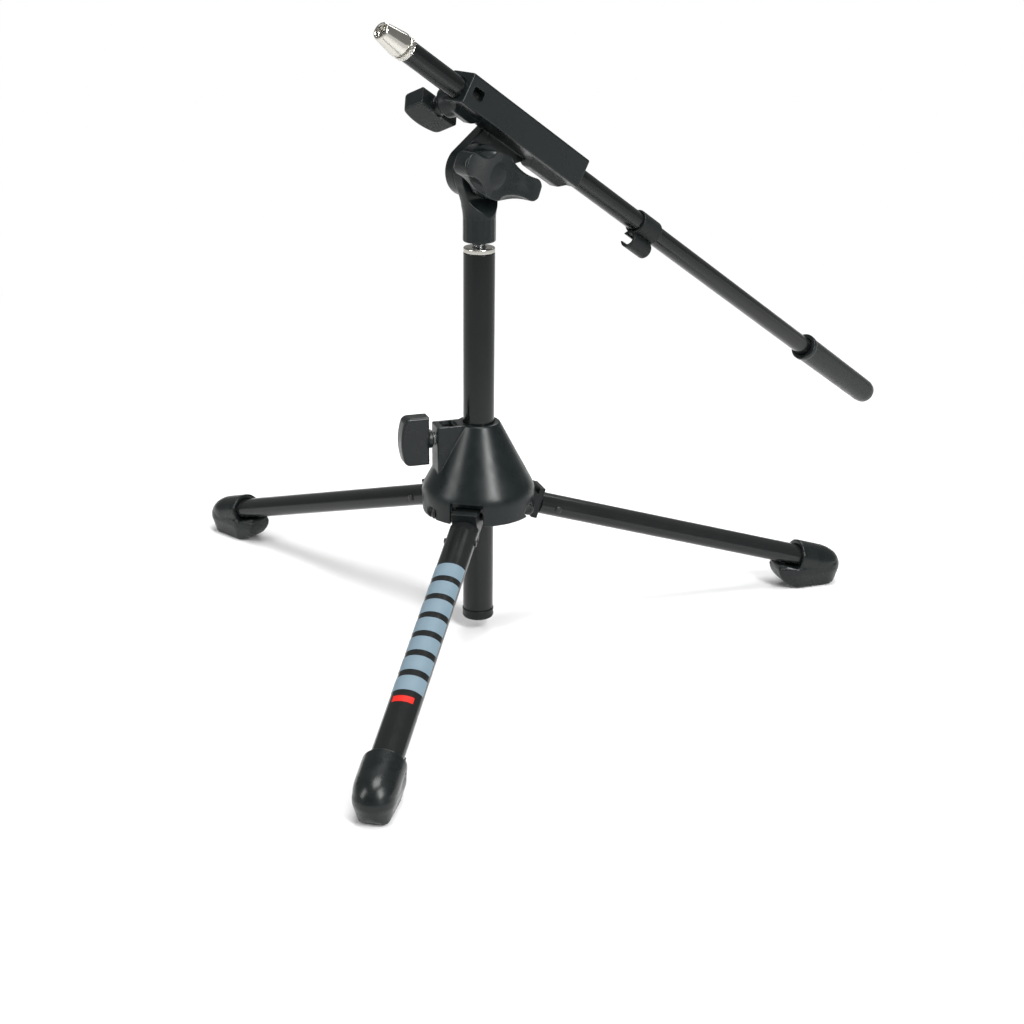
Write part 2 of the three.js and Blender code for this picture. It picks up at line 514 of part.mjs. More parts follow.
function addBoomClamp(arm) {
  piece(arm, 'boom_clamp_body', boomClampBody(), BLACK_CASTING);
  const joint = frame(arm, [pivot.s, 0, pivot.z]);
  const washerAt = -(BASE_DISC.far + GAP + WASHER.thick);
  piece(joint, 'friction_washer', alongY(ring(M8_R + GAP, WASHER.r, washerAt, washerAt + WASHER.thick)),
    RUBBER);
  piece(joint, 'tilt_bolt', tiltBolt(), ZINC);
  piece(joint, 'tilt_washer', alongY(ring(M8_R + GAP, WASHER.smallR, BASE_DISC.near + GAP, HANDLE.foot - GAP)), ZINC);
  const handle = frame(joint, [0, 0, 0], [0, BOOM_ANGLE - rad(HANDLE.angle), 0]);
  piece(handle, 'tilt_handle', tiltHandle(), BLACK_PLASTIC);
  const nut = new THREE.ExtrudeGeometry(hexagon(NUT.flats), { depth: NUT.thick, bevelEnabled: false });
  const nutBody = cut(solid(nut), bar(M8_R + GAP, -1, NUT.thick + 1));
  piece(handle, 'tilt_nut', alongY(shapeOf(nutBody)), ZINC).position.y = HANDLE.foot + GAP;
  const leaning = frame(arm, [SCREW.s, 0, 0], [rad(SCREW.lean), 0, -Math.PI / 2]);
  const screw = frame(leaning, [0, 0, 0], [Math.PI / 2, 0, 0]);
  const names = { shoe: 'boom_clamp_shoe', stud: 'boom_clamp_stud', knob: 'boom_clamp_knob' };
  clampScrew(screw, names, BOOM_R + 2 * GAP, SCREW.bossTo);
}

// ---------------------------------------------------------------- boom
function cableClip() {
  const barrels = joined(
    alongX(bar(CLIP.r, CLIP.from, CLIP.to, 28)),
    alongX(bar(CLIP.loopR, CLIP.from, CLIP.to, 24)).translate(0, 0, -CLIP.drop),
  );
  const boomBore = alongX(bar(BOOM_R + GAP, CLIP.from - 1, CLIP.to + 1, 28));
  const cableBore = alongX(bar(CLIP.loopBore, CLIP.from - 1, CLIP.to + 1, 24)).translate(0, 0, -CLIP.drop);
  const slit = box(CLIP.from - 1, CLIP.to + 1, -CLIP.loopR - 1, 0,
    -CLIP.drop - CLIP.slit / 2, -CLIP.drop + CLIP.slit / 2);
  return shapeOf(cut(barrels, boomBore, cableBore, slit));
}

function tailGrip() {
  const bore = BOOM_R + GAP;
  return alongX(turned([
    [0, GRIP.inside], [bore, GRIP.inside], [bore, GRIP.from], [GRIP.mouthR - 0.5, GRIP.from],
    [GRIP.mouthR, GRIP.from - 0.8], [GRIP.mouthR, GRIP.from - GRIP.mouth], [GRIP.r, GRIP.from - GRIP.mouth - 1],
    [GRIP.r, GRIP.to + 5], [GRIP.r - 1.4, GRIP.to + 1.6], [GRIP.r - 5, GRIP.to], [0, GRIP.to],
  ], 28));
}

function micAdapter() {
  const spigot = BOOM_R - BOOM_WALL - GAP;
  return alongX(turned([
    [0, CONE.spigotFrom], [spigot, CONE.spigotFrom], [spigot, RING.to + GAP], [CONE.rBase - CONE.groove, RING.to + GAP],
    [CONE.rBase - CONE.groove, CONE.from], [CONE.rBase, CONE.from], [CONE.rBase, CONE.from + 2],
    [CONE.rTip, CONE.to], [CONE.socketR, CONE.to], [CONE.socketR, CONE.to - CONE.socket],
    [0, CONE.to - CONE.socket - 2],
  ], 28));
}

// Knurled lock ring against the end of the boom tube.
function adapterRing() {
  const teeth = 28;
  const points = range(2 * teeth).map((i) => {
    const r = i % 2 ? RING.r : RING.r - 0.4;
    return [r * Math.cos((Math.PI * i) / teeth), r * Math.sin((Math.PI * i) / teeth)];
  });
  const outline = polygon(points);
  const bore = new THREE.Path().absarc(0, 0, BOOM_R - BOOM_WALL, 0, 2 * Math.PI, true);
  outline.holes.push(bore);
  return acrossX(outline, RING.from, RING.to);
}

function addBoom(arm) {
  piece(arm, 'boom_tube', alongX(ring(BOOM_R - BOOM_WALL, BOOM_R, GRIP.inside + GAP, BOOM_FRONT, 32)), BLACK_PAINT);
  piece(arm, 'adapter_ring', adapterRing(), NICKEL);
  piece(arm, 'mic_adapter', micAdapter(), NICKEL);
  piece(arm, 'tail_grip', tailGrip(), RUBBER);
  piece(arm, 'cable_clip', cableClip(), BLACK_PLASTIC);
}

// ---------------------------------------------------------------- assembly
const stand = new THREE.Group();
addHub(stand);
Object.entries(LEG_AZIMUTHS).forEach(([name, azimuth]) => addLeg(stand, name, azimuth));
const barrelBottom = addColumn(stand);
piece(stand, 'swivel_base', swivelBase(barrelBottom), BLACK_CASTING);
const arm = frame(stand, [0, 0, BOOM_CROSS_Z], [0, BOOM_ANGLE, Math.PI]);
addBoomClamp(arm);
addBoom(arm);

// The origin is the middle of the bounding box, on the floor.
const extent = new THREE.Box3().setFromObject(stand, true);
const middle = extent.getCenter(new THREE.Vector3());
stand.position.set(-middle.x, -middle.y, 0);

const root = new THREE.Group();
root.add(stand);
export default root;
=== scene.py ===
"""Desktop microphone stand: finished surfaces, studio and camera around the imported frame.

Each class below is one sub-assembly. Its fields are sizes in millimetres in the local frame that its
docstring names, and every piece is brought to metres in the row frame as it is made.
"""

import json
import logging
import math
from collections.abc import Callable, Sequence
from dataclasses import dataclass
from enum import Enum

import bmesh
import bpy
from mathutils import Matrix, Vector


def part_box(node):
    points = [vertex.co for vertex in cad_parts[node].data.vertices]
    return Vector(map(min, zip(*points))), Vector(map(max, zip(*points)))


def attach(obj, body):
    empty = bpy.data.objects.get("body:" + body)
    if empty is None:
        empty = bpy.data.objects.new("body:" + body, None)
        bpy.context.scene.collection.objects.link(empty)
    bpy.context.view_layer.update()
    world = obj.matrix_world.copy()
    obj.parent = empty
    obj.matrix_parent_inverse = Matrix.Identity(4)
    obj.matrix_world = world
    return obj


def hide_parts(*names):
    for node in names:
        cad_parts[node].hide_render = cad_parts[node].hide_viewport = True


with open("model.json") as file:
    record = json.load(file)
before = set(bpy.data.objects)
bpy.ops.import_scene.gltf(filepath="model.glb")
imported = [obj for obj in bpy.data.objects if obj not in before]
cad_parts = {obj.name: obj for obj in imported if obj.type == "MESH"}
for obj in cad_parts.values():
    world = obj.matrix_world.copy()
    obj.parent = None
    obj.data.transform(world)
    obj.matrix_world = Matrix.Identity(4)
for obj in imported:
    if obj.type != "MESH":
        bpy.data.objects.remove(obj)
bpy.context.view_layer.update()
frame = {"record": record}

LOG = logging.getLogger("mic_stand")
MM = 0.001
GAP = 0.3  # clearance between pieces that touch on the real stand
M8_R = 4.0
M8_PITCH = 1.25
STAND_PITCH = 1.5875  # of the 5/8 inch stand thread
NUT_FLATS = 13.0
NUT_HEIGHT = 6.5
YZ_ALONG_X = Matrix(((0, 0, 1, 0), (1, 0, 0, 0), (0, 1, 0, 0), (0, 0, 0, 1)))

Pair = tuple[float, float]
Color = tuple[float, float, float]
Ripple = Callable[[float, float, float], float]


def rotation(degrees: float, axis: str) -> Matrix:
    """Returns the matrix that turns by an angle about an axis."""
    return Matrix.Rotation(math.radians(degrees), 4, axis)


# ---------------------------------------------------------------- shapes
@dataclass
class Shape:
    """A closed surface in millimetres: its points and its faces."""

    points: list[Vector]
    faces: list[tuple[int, ...]]

    def moved(self, matrix: Matrix) -> "Shape":
        """Returns this shape carried through a matrix."""
        return Shape([matrix @ p for p in self.points], self.faces)

    def shifted(self, x: float = 0.0, y: float = 0.0, z: float = 0.0) -> "Shape":
        """Returns this shape moved by x, y and z."""
        return self.moved(Matrix.Translation((x, y, z)))

    def spun(self, degrees: float, axis: str) -> "Shape":
        """Returns this shape turned about one of its own axes."""
        return self.moved(rotation(degrees, axis))

    def along_x(self) -> "Shape":
        """Returns a shape drawn along Z laid along X."""
        return self.spun(90, "Y")

    def along_y(self) -> "Shape":
        """Returns a shape drawn along Z laid along Y."""
        return self.spun(-90, "X")


class Op(Enum):
    """How one shape changes another."""

    ADD = "UNION"
    CUT = "DIFFERENCE"
    KEEP = "INTERSECT"


def softened(points: Sequence[Pair], radii: Sequence[float] | float, steps: int = 5,
             closed: bool = False) -> list[Pair]:
    """Rounds the corners of an outline.

    Args:
        points: The corners in order.
        radii: How far along its edges each corner starts to bend; one value serves all corners.
        steps: How many pieces each bend has.
        closed: Whether the outline closes on itself; an open one keeps its two ends.

    Returns:
        The outline with its bends.
    """
    count = len(points)
    sizes = [radii] * count if isinstance(radii, (int, float)) else list(radii)
    result: list[Pair] = []
    for i, (corner, size) in enumerate(zip(points, sizes)):
        if size <= 0 or (not closed and i in (0, count - 1)):
            result.append(tuple(corner))
            continue
        here = Vector(corner)
        before, after = Vector(points[i - 1]) - here, Vector(points[(i + 1) % count]) - here
        start = here + before.normalized() * min(size, before.length * 0.48)
        end = here + after.normalized() * min(size, after.length * 0.48)
        for k in range(steps + 1):
            t = k / steps
            result.append(tuple(start * (1 - t) ** 2 + here * 2 * t * (1 - t) + end * t ** 2))
    return result


def bezier(p0: Pair, p1: Pair, p2: Pair, p3: Pair, steps: int = 20) -> list[Pair]:
    """Returns points along a cubic curve, both ends included."""
    a, b, c, d = (Vector(p) for p in (p0, p1, p2, p3))
    curve = []
    for k in range(steps + 1):
        t = k / steps
        u = 1 - t
        curve.append(tuple(a * u ** 3 + b * 3 * t * u ** 2 + c * 3 * t * t * u + d * t ** 3))
    return curve


def arc(cx: float, cy: float, r: float, start: float, end: float, steps: int = 24) -> list[Pair]:
    """Returns points on a circle from one angle to another, in degrees."""
    angles = [math.radians(start + (end - start) * k / steps) for k in range(steps + 1)]
    return [(cx + r * math.cos(a), cy + r * math.sin(a)) for a in angles]


def oval(half_w: float, half_h: float, count: int = 72) -> list[Pair]:
    """Returns a closed ellipse."""
    angles = [math.tau * k / count for k in range(count)]
    return [(half_w * math.cos(a), half_h * math.sin(a)) for a in angles]


def hexagon(flats: float) -> list[Pair]:
    """Returns a hexagon with that distance between its flats."""
    return arc(0, 0, flats / math.sqrt(3), 0, 300, 5)


def rows(z0: float, z1: float, step: float) -> list[float]:
    """Returns evenly spaced heights from z0 to z1, about one step apart."""
    count = max(1, round(abs(z1 - z0) / step))
    return [z0 + (z1 - z0) * k / count for k in range(count + 1)]


def lathe(profile: Sequence[Pair], segments: int = 96, ripple: Ripple | None = None) -> Shape:
    """Turns a profile about Z.

    Args:
        profile: (radius, height) pairs. It starts and ends on the axis, or it closes on itself.
        segments: How many sides the turned shape has.
        ripple: Gives the radius at (angle, radius, height), for threads and knurls.

    Returns:
        The turned shape.
    """
    ring_profile = profile[0][0] > 1e-6
    points: list[Vector] = []
    starts: list[tuple[int, bool]] = []
    for r, z in profile:
        starts.append((len(points), r <= 1e-6))
        if r <= 1e-6:
            points.append(Vector((0, 0, z)))
            continue
        for k in range(segments):
            a = math.tau * k / segments
            radius = ripple(a, r, z) if ripple else r
            points.append(Vector((radius * math.cos(a), radius * math.sin(a), z)))
    faces: list[tuple[int, ...]] = []
    following = starts[1:] + ([starts[0]] if ring_profile else [])
    for (low, low_pole), (high, high_pole) in zip(starts, following):
        for k in range(segments):
            n = (k + 1) % segments
            if low_pole:
                faces.append((low, high + n, high + k))
            elif high_pole:
                faces.append((low + k, low + n, high))
            else:
                faces.append((low + k, low + n, high + n, high + k))
    return Shape(points, faces)


def bar(r: float, z0: float, z1: float, segments: int = 64) -> Shape:
    """Returns a round bar along Z."""
    return lathe([(0, z0), (r, z0), (r, z1), (0, z1)], segments)


def inset(outline: Sequence[Pair], distance: float) -> list[Pair]:
    """Moves a closed outline inwards by a small distance."""
    count = len(outline)
    area = sum(outline[i][0] * outline[(i + 1) % count][1] - outline[(i + 1) % count][0] * outline[i][1]
               for i in range(count))
    side = 1 if area > 0 else -1
    moved = []
    for i, point in enumerate(outline):
        here = Vector(point)
        a = (here - Vector(outline[i - 1])).normalized()
        b = (Vector(outline[(i + 1) % count]) - here).normalized()
        normal = (a + b).orthogonal()
        if normal.length < 1e-9:
            normal = a.orthogonal()
        normal.normalize()
        normal *= side * (1 if normal.dot(Vector((-a.y, a.x))) > 0 else -1)
        lean = max(0.5, abs(normal.dot(Vector((-a.y, a.x)))))
        moved.append(tuple(here + normal * (distance / lean)))
    return moved


def ring_faces(a: int, b: int, n: int) -> list[tuple[int, ...]]:
    """Returns the faces between two loops of n points that start at a and b."""
    return [(a + k, a + (k + 1) % n, b + (k + 1) % n, b + k) for k in range(n)]


def stacked(outline: Sequence[Pair], layers: Sequence[Pair]) -> Shape:
    """Stacks an outline in layers, each an (inset, height) pair, and closes both ends."""
    points: list[Vector] = []
    for distance, z in layers:
        points += [Vector((x, y, z)) for x, y in (inset(outline, distance) if distance > 0 else outline)]
    n = len(outline)
    faces: list[tuple[int, ...]] = [tuple(range(n))[::-1]]
    for base in range(0, len(points) - n, n):
        faces += ring_faces(base, base + n, n)
    faces.append(tuple(range(len(points) - n, len(points))))
    return Shape(points, faces)


def prism(outline: Sequence[Pair], z0: float, z1: float, edge: float = 0.0, steps: int = 4) -> Shape:
    """Raises a closed outline along Z.

    Args:
        outline: The closed outline in XY, without a repeated last point.
        z0: The lower end.
        z1: The upper end.
        edge: Radius of the rounded rims; one step makes a plain chamfer.
        steps: How many pieces each rim's bend has.

    Returns:
        The prism.
    """
    layers: list[Pair] = []
    if edge > 0:
        turn = [math.pi / 2 * k / steps for k in range(steps + 1)]
        layers += [(edge * (1 - math.sin(a)), z0 + edge * (1 - math.cos(a))) for a in turn]
        layers += [(edge * (1 - math.cos(a)), z1 - edge * (1 - math.sin(a))) for a in turn]
    else:
        layers += [(0.0, z0), (0.0, z1)]
    return stacked(outline, layers)


def across_y(outline: Sequence[Pair], y0: float, y1: float, edge: float = 0.0, steps: int = 4) -> Shape:
    """Raises an outline drawn in XZ across y0 to y1."""
    return prism(outline, -y1, -y0, edge, steps).spun(90, "X")


def across_x(outline: Sequence[Pair], x0: float, x1: float, edge: float = 0.0, steps: int = 4) -> Shape:
    """Raises an outline drawn in YZ across x0 to x1."""
    return prism(outline, x0, x1, edge, steps).moved(YZ_ALONG_X)


def block(x: Pair, y: Pair, z: Pair) -> Shape:
    """Returns a box between three pairs of limits, for cutting and joining."""
    return prism([(x[0], y[0]), (x[1], y[0]), (x[1], y[1]), (x[0], y[1])], *z)


def tube(outer: Sequence[Pair], inner: Sequence[Pair], z0: float, z1: float, edge: float) -> Shape:
    """Returns a hollow section along Z with softly broken ends; both outlines have as many points."""
    n = len(outer)
    loops = [
        (inset(outer, edge), z0), (outer, z0 + edge), (outer, z1 - edge), (inset(outer, edge), z1),
        (inset(inner, -edge * 0.6), z1), (inner, z1 - edge * 0.6), (inner, z0 + edge * 0.6),
        (inset(inner, -edge * 0.6), z0),
    ]
    points = [Vector((x, y, z)) for outline, z in loops for x, y in outline]
    faces = []
    for level in range(len(loops)):
        faces += ring_faces(level * n, (level + 1) % len(loops) * n, n)
    return Shape(points, faces)


def helix(pitch: float, depth: float, low: float, high: float, at: float) -> Ripple:
    """Makes the ripple of a screw thread.

    Args:
        pitch: Distance between turns.
        depth: Depth of the groove; a negative depth cuts outwards, for a socket.
        low: Where the thread starts.
        high: Where it ends.
        at: Radius of the plain bar; other radii are left alone.

    Returns:
        The ripple for lathe().
    """
    def radius(angle: float, r: float, z: float) -> float:
        """Returns the thread's radius at one point."""
        if abs(r - at) > 1e-3 or not low < z < high:
            return r
        phase = (z / pitch - angle / math.tau) % 1.0
        groove = 1 - abs(2 * phase - 1)
        fade = min(1.0, (z - low) / pitch, (high - z) / pitch)
        return r - depth * min(1.0, groove * 1.25) * fade
    return radius


def linked(name: str, data: bpy.types.ID) -> bpy.types.Object:
    """Returns a new object of some data, linked to the scene."""
    obj = bpy.data.objects.new(name, data)
    bpy.context.collection.objects.link(obj)
    return obj


def union_and_cut(start: Shape, *steps: tuple[Op, Shape], grain: float | None = 0.5,
                  rounds: int = 4) -> Shape:
    """Joins and cuts closed shapes into one, and softens its edges like a casting's.

    Args:
        start: The shape to work on.
        steps: What is added, cut or kept, in order.
        grain: Spacing of the rebuilt surface, or None to keep the faces as cut.
        rounds: How many smoothing rounds the edges get.

    Returns:
        One closed shape.
    """
    body = linked("work", closed_mesh(start, "work"))
    tools = []
    for i, (op, shape) in enumerate(steps):
        tool = linked(f"tool_{i}", closed_mesh(shape, f"tool_{i}"))
        tools.append(tool)
        modifier = body.modifiers.new(f"step_{i}", "BOOLEAN")
        modifier.operation, modifier.solver, modifier.object = op.value, "MANIFOLD", tool
    if grain:
        remesh = body.modifiers.new("surface", "REMESH")
        remesh.mode, remesh.voxel_size = "VOXEL", grain
        smooth = body.modifiers.new("soften", "SMOOTH")
        smooth.factor, smooth.iterations = 0.5, rounds
    depsgraph = bpy.context.evaluated_depsgraph_get()
    mesh = bpy.data.meshes.new_from_object(body.evaluated_get(depsgraph))
    result = Shape([v.co.copy() for v in mesh.vertices], [tuple(p.vertices) for p in mesh.polygons])
    for obj in [body, *tools]:
        data = obj.data
        bpy.data.objects.remove(obj)
        bpy.data.meshes.remove(data)
    bpy.data.meshes.remove(mesh)
    return result


def closed_mesh(shape: Shape, name: str, scale: float = 1.0) -> bpy.types.Mesh:
    """Returns a mesh of a shape with its faces turned outwards."""
    mesh = bpy.data.meshes.new(name)
    mesh.from_pydata([p * scale for p in shape.points], [], shape.faces)
    work = bmesh.new()
    work.from_mesh(mesh)
    bmesh.ops.recalc_face_normals(work, faces=work.faces)
    work.to_mesh(mesh)
    work.free()
    return mesh


# ---------------------------------------------------------------- finishes
@dataclass(frozen=True)
class Finish:
    """A surface finish, built from procedural nodes."""

    slot: str
    color: Color
    roughness: float
    metallic: float = 0.0
    specular: float = 0.5
    coat: float = 0.0
    grain: float = 0.5  # size of the finest grain, mm
    height: float = 0.02  # how deep the grain is, mm
    stretch: Color = (1.0, 1.0, 1.0)  # how the grain is drawn out
    cloud: float = 9.0  # size of the soft variation, mm
    uneven: float = 0.08  # how far roughness varies
    tint: Color = (0.0, 0.0, 0.0)  # added where the variation is strongest
    edge_wear_and_highlight: Color = (0.0, 0.0, 0.0)  # painted edge highlight with edge wear, added along convex edges

    def material(self, label: str) -> bpy.types.Material:
        """Builds the node material.

        Args:
            label: Name of the material.

        Returns:
            The material.
        """
        material = bpy.data.materials.new(label)
        material.use_nodes = True
        nodes, links = material.node_tree.nodes, material.node_tree.links
        shader = nodes["Principled BSDF"]
        shader.inputs["Metallic"].default_value = self.metallic
        shader.inputs["Specular IOR Level"].default_value = self.specular
        shader.inputs["Coat Weight"].default_value = self.coat
        shader.inputs["Coat Roughness"].default_value = 0.12
        place = nodes.new("ShaderNodeTexCoord").outputs["Object"]
        clouds = self._noise(nodes, links, place, 1000.0 / self.cloud, 3.0)
        grain = self._noise(nodes, links, place, 1000.0 / self.grain, 4.0, self.stretch)
        rough = self._ranged(nodes, links, clouds, self.roughness - self.uneven, self.roughness + self.uneven)
        links.new(rough, shader.inputs["Roughness"])
        edge = self._ranged(nodes, links, nodes.new("ShaderNodeNewGeometry").outputs["Pointiness"],
                            0.0, 1.0, (0.515, 0.6))
        color = self._added(nodes, links, self.color, self.tint, clouds)
        # painted edge highlight with edge wear: the colour is lifted along convex edges, picked out by
        # pointiness
        color = self._added(nodes, links, color, self.edge_wear_and_highlight, edge)
        links.new(color, shader.inputs["Base Color"])
        bump = nodes.new("ShaderNodeBump")
        bump.inputs["Distance"].default_value = self.height * MM
        links.new(grain, bump.inputs["Height"])
        links.new(bump.outputs["Normal"], shader.inputs["Normal"])
        return material

    @staticmethod
    def _noise(nodes: bpy.types.Nodes, links: bpy.types.NodeLinks, place: bpy.types.NodeSocket,
               scale: float, detail: float, stretch: Color = (1.0, 1.0, 1.0)) -> bpy.types.NodeSocket:
        """Adds a noise field and returns its value."""
        mapping = nodes.new("ShaderNodeMapping")
        mapping.inputs["Scale"].default_value = stretch
        links.new(place, mapping.inputs["Vector"])
        noise = nodes.new("ShaderNodeTexNoise")
        noise.inputs["Scale"].default_value = scale
        noise.inputs["Detail"].default_value = detail
        links.new(mapping.outputs["Vector"], noise.inputs["Vector"])
        return noise.outputs["Fac"]

    @staticmethod
    def _ranged(nodes: bpy.types.Nodes, links: bpy.types.NodeLinks, value: bpy.types.NodeSocket,
                low: float, high: float, source: Pair = (0.3, 0.7)) -> bpy.types.NodeSocket:
        """Maps a value from its source range to low..high and returns the result."""
        mapped = nodes.new("ShaderNodeMapRange")
        mapped.inputs["From Min"].default_value, mapped.inputs["From Max"].default_value = source
        mapped.inputs["To Min"].default_value = low
        mapped.inputs["To Max"].default_value = high
        links.new(value, mapped.inputs["Value"])
        return mapped.outputs["Result"]

    @staticmethod
    def _added(nodes: bpy.types.Nodes, links: bpy.types.NodeLinks, base: Color | bpy.types.NodeSocket,
               extra: Color, amount: bpy.types.NodeSocket) -> bpy.types.NodeSocket:
        """Adds a colour to a base by an amount and returns the sum."""
        mix = nodes.new("ShaderNodeMix")
        mix.data_type, mix.blend_type = "RGBA", "ADD"
        if isinstance(base, tuple):
            mix.inputs["A"].default_value = (*base, 1.0)
        else:
            links.new(base, mix.inputs["A"])
        mix.inputs["B"].default_value = (*extra, 1.0)
        links.new(amount, mix.inputs["Factor"])
        return mix.outputs["Result"]


class Look(Enum):
    """The finishes of the stand, each tied to a slot of the record."""

    # Each finish's last colour is a painted edge highlight with edge wear, lifting its convex edges.
    CASTING = Finish("casting_black", (0.0035, 0.0052, 0.0054), 0.31, specular=0.25, grain=0.7, height=0.012,
                     uneven=0.05, tint=(0.001, 0.002, 0.002), edge_wear_and_highlight=(0.008, 0.010, 0.010))
    TUBE = Finish("tube_paint", (0.0026, 0.0034, 0.0035), 0.2, specular=0.26, grain=0.9, height=0.004,
                  uneven=0.04, cloud=14.0, tint=(0.001, 0.001, 0.001), edge_wear_and_highlight=(0.008, 0.008, 0.008))
    NYLON = Finish("nylon_black", (0.005, 0.0066, 0.0066), 0.4, specular=0.17, grain=0.35, height=0.012,
                   tint=(0.002, 0.002, 0.002), edge_wear_and_highlight=(0.005, 0.005, 0.005))
    KNOB = Finish("knob_plastic", (0.005, 0.007, 0.0073), 0.3, specular=0.26, grain=0.3, height=0.012,
                  tint=(0.002, 0.002, 0.002), edge_wear_and_highlight=(0.006, 0.007, 0.007))
    RUBBER = Finish("rubber_black", (0.004, 0.0055, 0.0053), 0.28, specular=0.26, grain=0.5, height=0.012,
                    uneven=0.06, tint=(0.002, 0.003, 0.003), edge_wear_and_highlight=(0.004, 0.004, 0.004))
    NICKEL = Finish("nickel_plate", (0.5, 0.49, 0.45), 0.16, metallic=1.0, grain=0.6, height=0.004,
                    uneven=0.05, tint=(0.03, 0.03, 0.02))
    ZINC = Finish("zinc_steel", (0.34, 0.35, 0.36), 0.32, metallic=1.0, grain=0.25, height=0.008,
                  uneven=0.1, tint=(0.06, 0.06, 0.05))
    BLACK_STEEL = Finish("black_steel", (0.012, 0.013, 0.013), 0.36, metallic=0.5, grain=0.25, height=0.008,
                         uneven=0.08, tint=(0.006, 0.006, 0.006))
    STRIPE_PALE = Finish("tube_paint", (0.115, 0.165, 0.2), 0.4, specular=0.2, grain=0.4, height=0.006,
                         tint=(0.02, 0.02, 0.02))
    STRIPE_RED = Finish("tube_paint", (0.42, 0.014, 0.009), 0.4, specular=0.2, grain=0.4, height=0.006,
                        tint=(0.03, 0.0, 0.0))


class Paintbox:
    """Makes each finish's material once and hands it out."""

    def __init__(self) -> None:
        """Starts with no material made."""
        self._made: dict[Look, bpy.types.Material] = {}

    def __call__(self, look: Look) -> bpy.types.Material:
        """Returns the material of a finish."""
        if look not in self._made:
            self._made[look] = look.value.material(f"finish_{look.name.lower()}")
        return self._made[look]


PAINT = Paintbox()


# ---------------------------------------------------------------- places in the row frame
def joint(name: str) -> dict:
    """Returns a joint of the record by name."""
    return next(j for j in frame["record"]["behaviour"]["joints"] if j["name"] == name)


def middle(node: str) -> Vector:
    """Returns the centre of a CAD node's box, in metres."""
    low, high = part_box(node)
    return (Vector(low) + Vector(high)) / 2


def placed(origin: Vector, x_axis: Vector, z_axis: Vector) -> Matrix:
    """Returns the matrix from a local frame in millimetres to the row frame in metres."""
    x, z = x_axis.normalized(), z_axis.normalized()
    y = z.cross(x)
    columns = [(*(axis * MM), 0.0) for axis in (x, y, z)] + [(*origin, 1.0)]
    return Matrix(columns).transposed()


def column_frame() -> Matrix:
    """Returns the frame of the column: its axis on Z, the floor at zero."""
    centre = middle("column_tube")
    return placed(Vector((centre.x, centre.y, 0)), Vector((1, 0, 0)), Vector((0, 0, 1)))


def boom_frame() -> Matrix:
    """Returns the boom's frame: X towards the tip, Y to the handle's side, origin above the column."""
    tip = Vector(joint("boom_slide")["axis"])
    far = Vector(joint("boom_tilt")["axis"])
    centre, column = middle("boom_tube"), middle("column_tube")
    origin = centre + tip * ((column.x - centre.x) / tip.x)
    return placed(origin, tip, tip.cross(-far))


def add_piece(name: str, shape: Shape, place: Matrix, body: str, look: Look, *nodes: str,
              sharp: float = 38.0) -> bpy.types.Object:
    """Makes one finished piece of the stand.

    Args:
        name: Name of the piece.
        shape: Its surface in local millimetres.
        place: The matrix of its local frame.
        body: The CAD body it moves with.
        look: Its finish.
        nodes: The CAD nodes it stands for.
        sharp: Angle in degrees above which an edge stays crisp.

    Returns:
        The new object.
    """
    mesh = closed_mesh(shape.moved(place), name)
    mesh.shade_smooth()
    mesh.set_sharp_from_angle(angle=math.radians(sharp))
    mesh.materials.append(PAINT(look))
    obj = linked(name, mesh)
    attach(obj, body)
    if nodes:
        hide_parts(*nodes)
    LOG.info("%s: %d faces, rides on %s", name, len(mesh.polygons), body)
    return obj


# ---------------------------------------------------------------- hardware
def hex_nut(thickness: float) -> Shape:
    """Returns an M8 nut along Z from zero, its corners turned off at both ends."""
    corner = NUT_FLATS / math.sqrt(3)
    drop = (corner - NUT_FLATS / 2) * 0.6
    turned = lathe([(0, 0), (NUT_FLATS / 2 - 0.2, 0), (corner, drop), (corner, thickness - drop),
                    (NUT_FLATS / 2 - 0.2, thickness), (0, thickness)], 96)
    return union_and_cut(prism(hexagon(NUT_FLATS), 0, thickness), (Op.KEEP, turned),
                         (Op.CUT, bar(M8_R + GAP, -1, thickness + 1)), grain=None)


def threaded_bar(r: float, z0: float, z1: float, pitch: float, start: float) -> Shape:
    """Returns a bar along Z from z0 to z1, threaded from start to z1, with broken ends."""
    depth = pitch * 0.5
    profile = [(0, z0), (r - 0.6, z0), (r, z0 + 0.6)]
    profile += [(r, z) for z in rows(max(start, z0 + 0.7), z1 - 0.7, pitch / 6)]
    profile += [(r, z1 - 0.6), (r - 0.6, z1), (0, z1)]
    return lathe(profile, 48, helix(pitch, depth, max(start, z0 + 0.8), z1 - 0.7, r))


def washer(inner: float, outer: float, z0: float, z1: float) -> Shape:
    """Returns a flat ring along Z with softly broken edges."""
    corners = [(inner, z0), (outer, z0), (outer, z1), (inner, z1)]
    return lathe(softened(corners, min(0.3, (z1 - z0) / 3), 3, closed=True), 96)


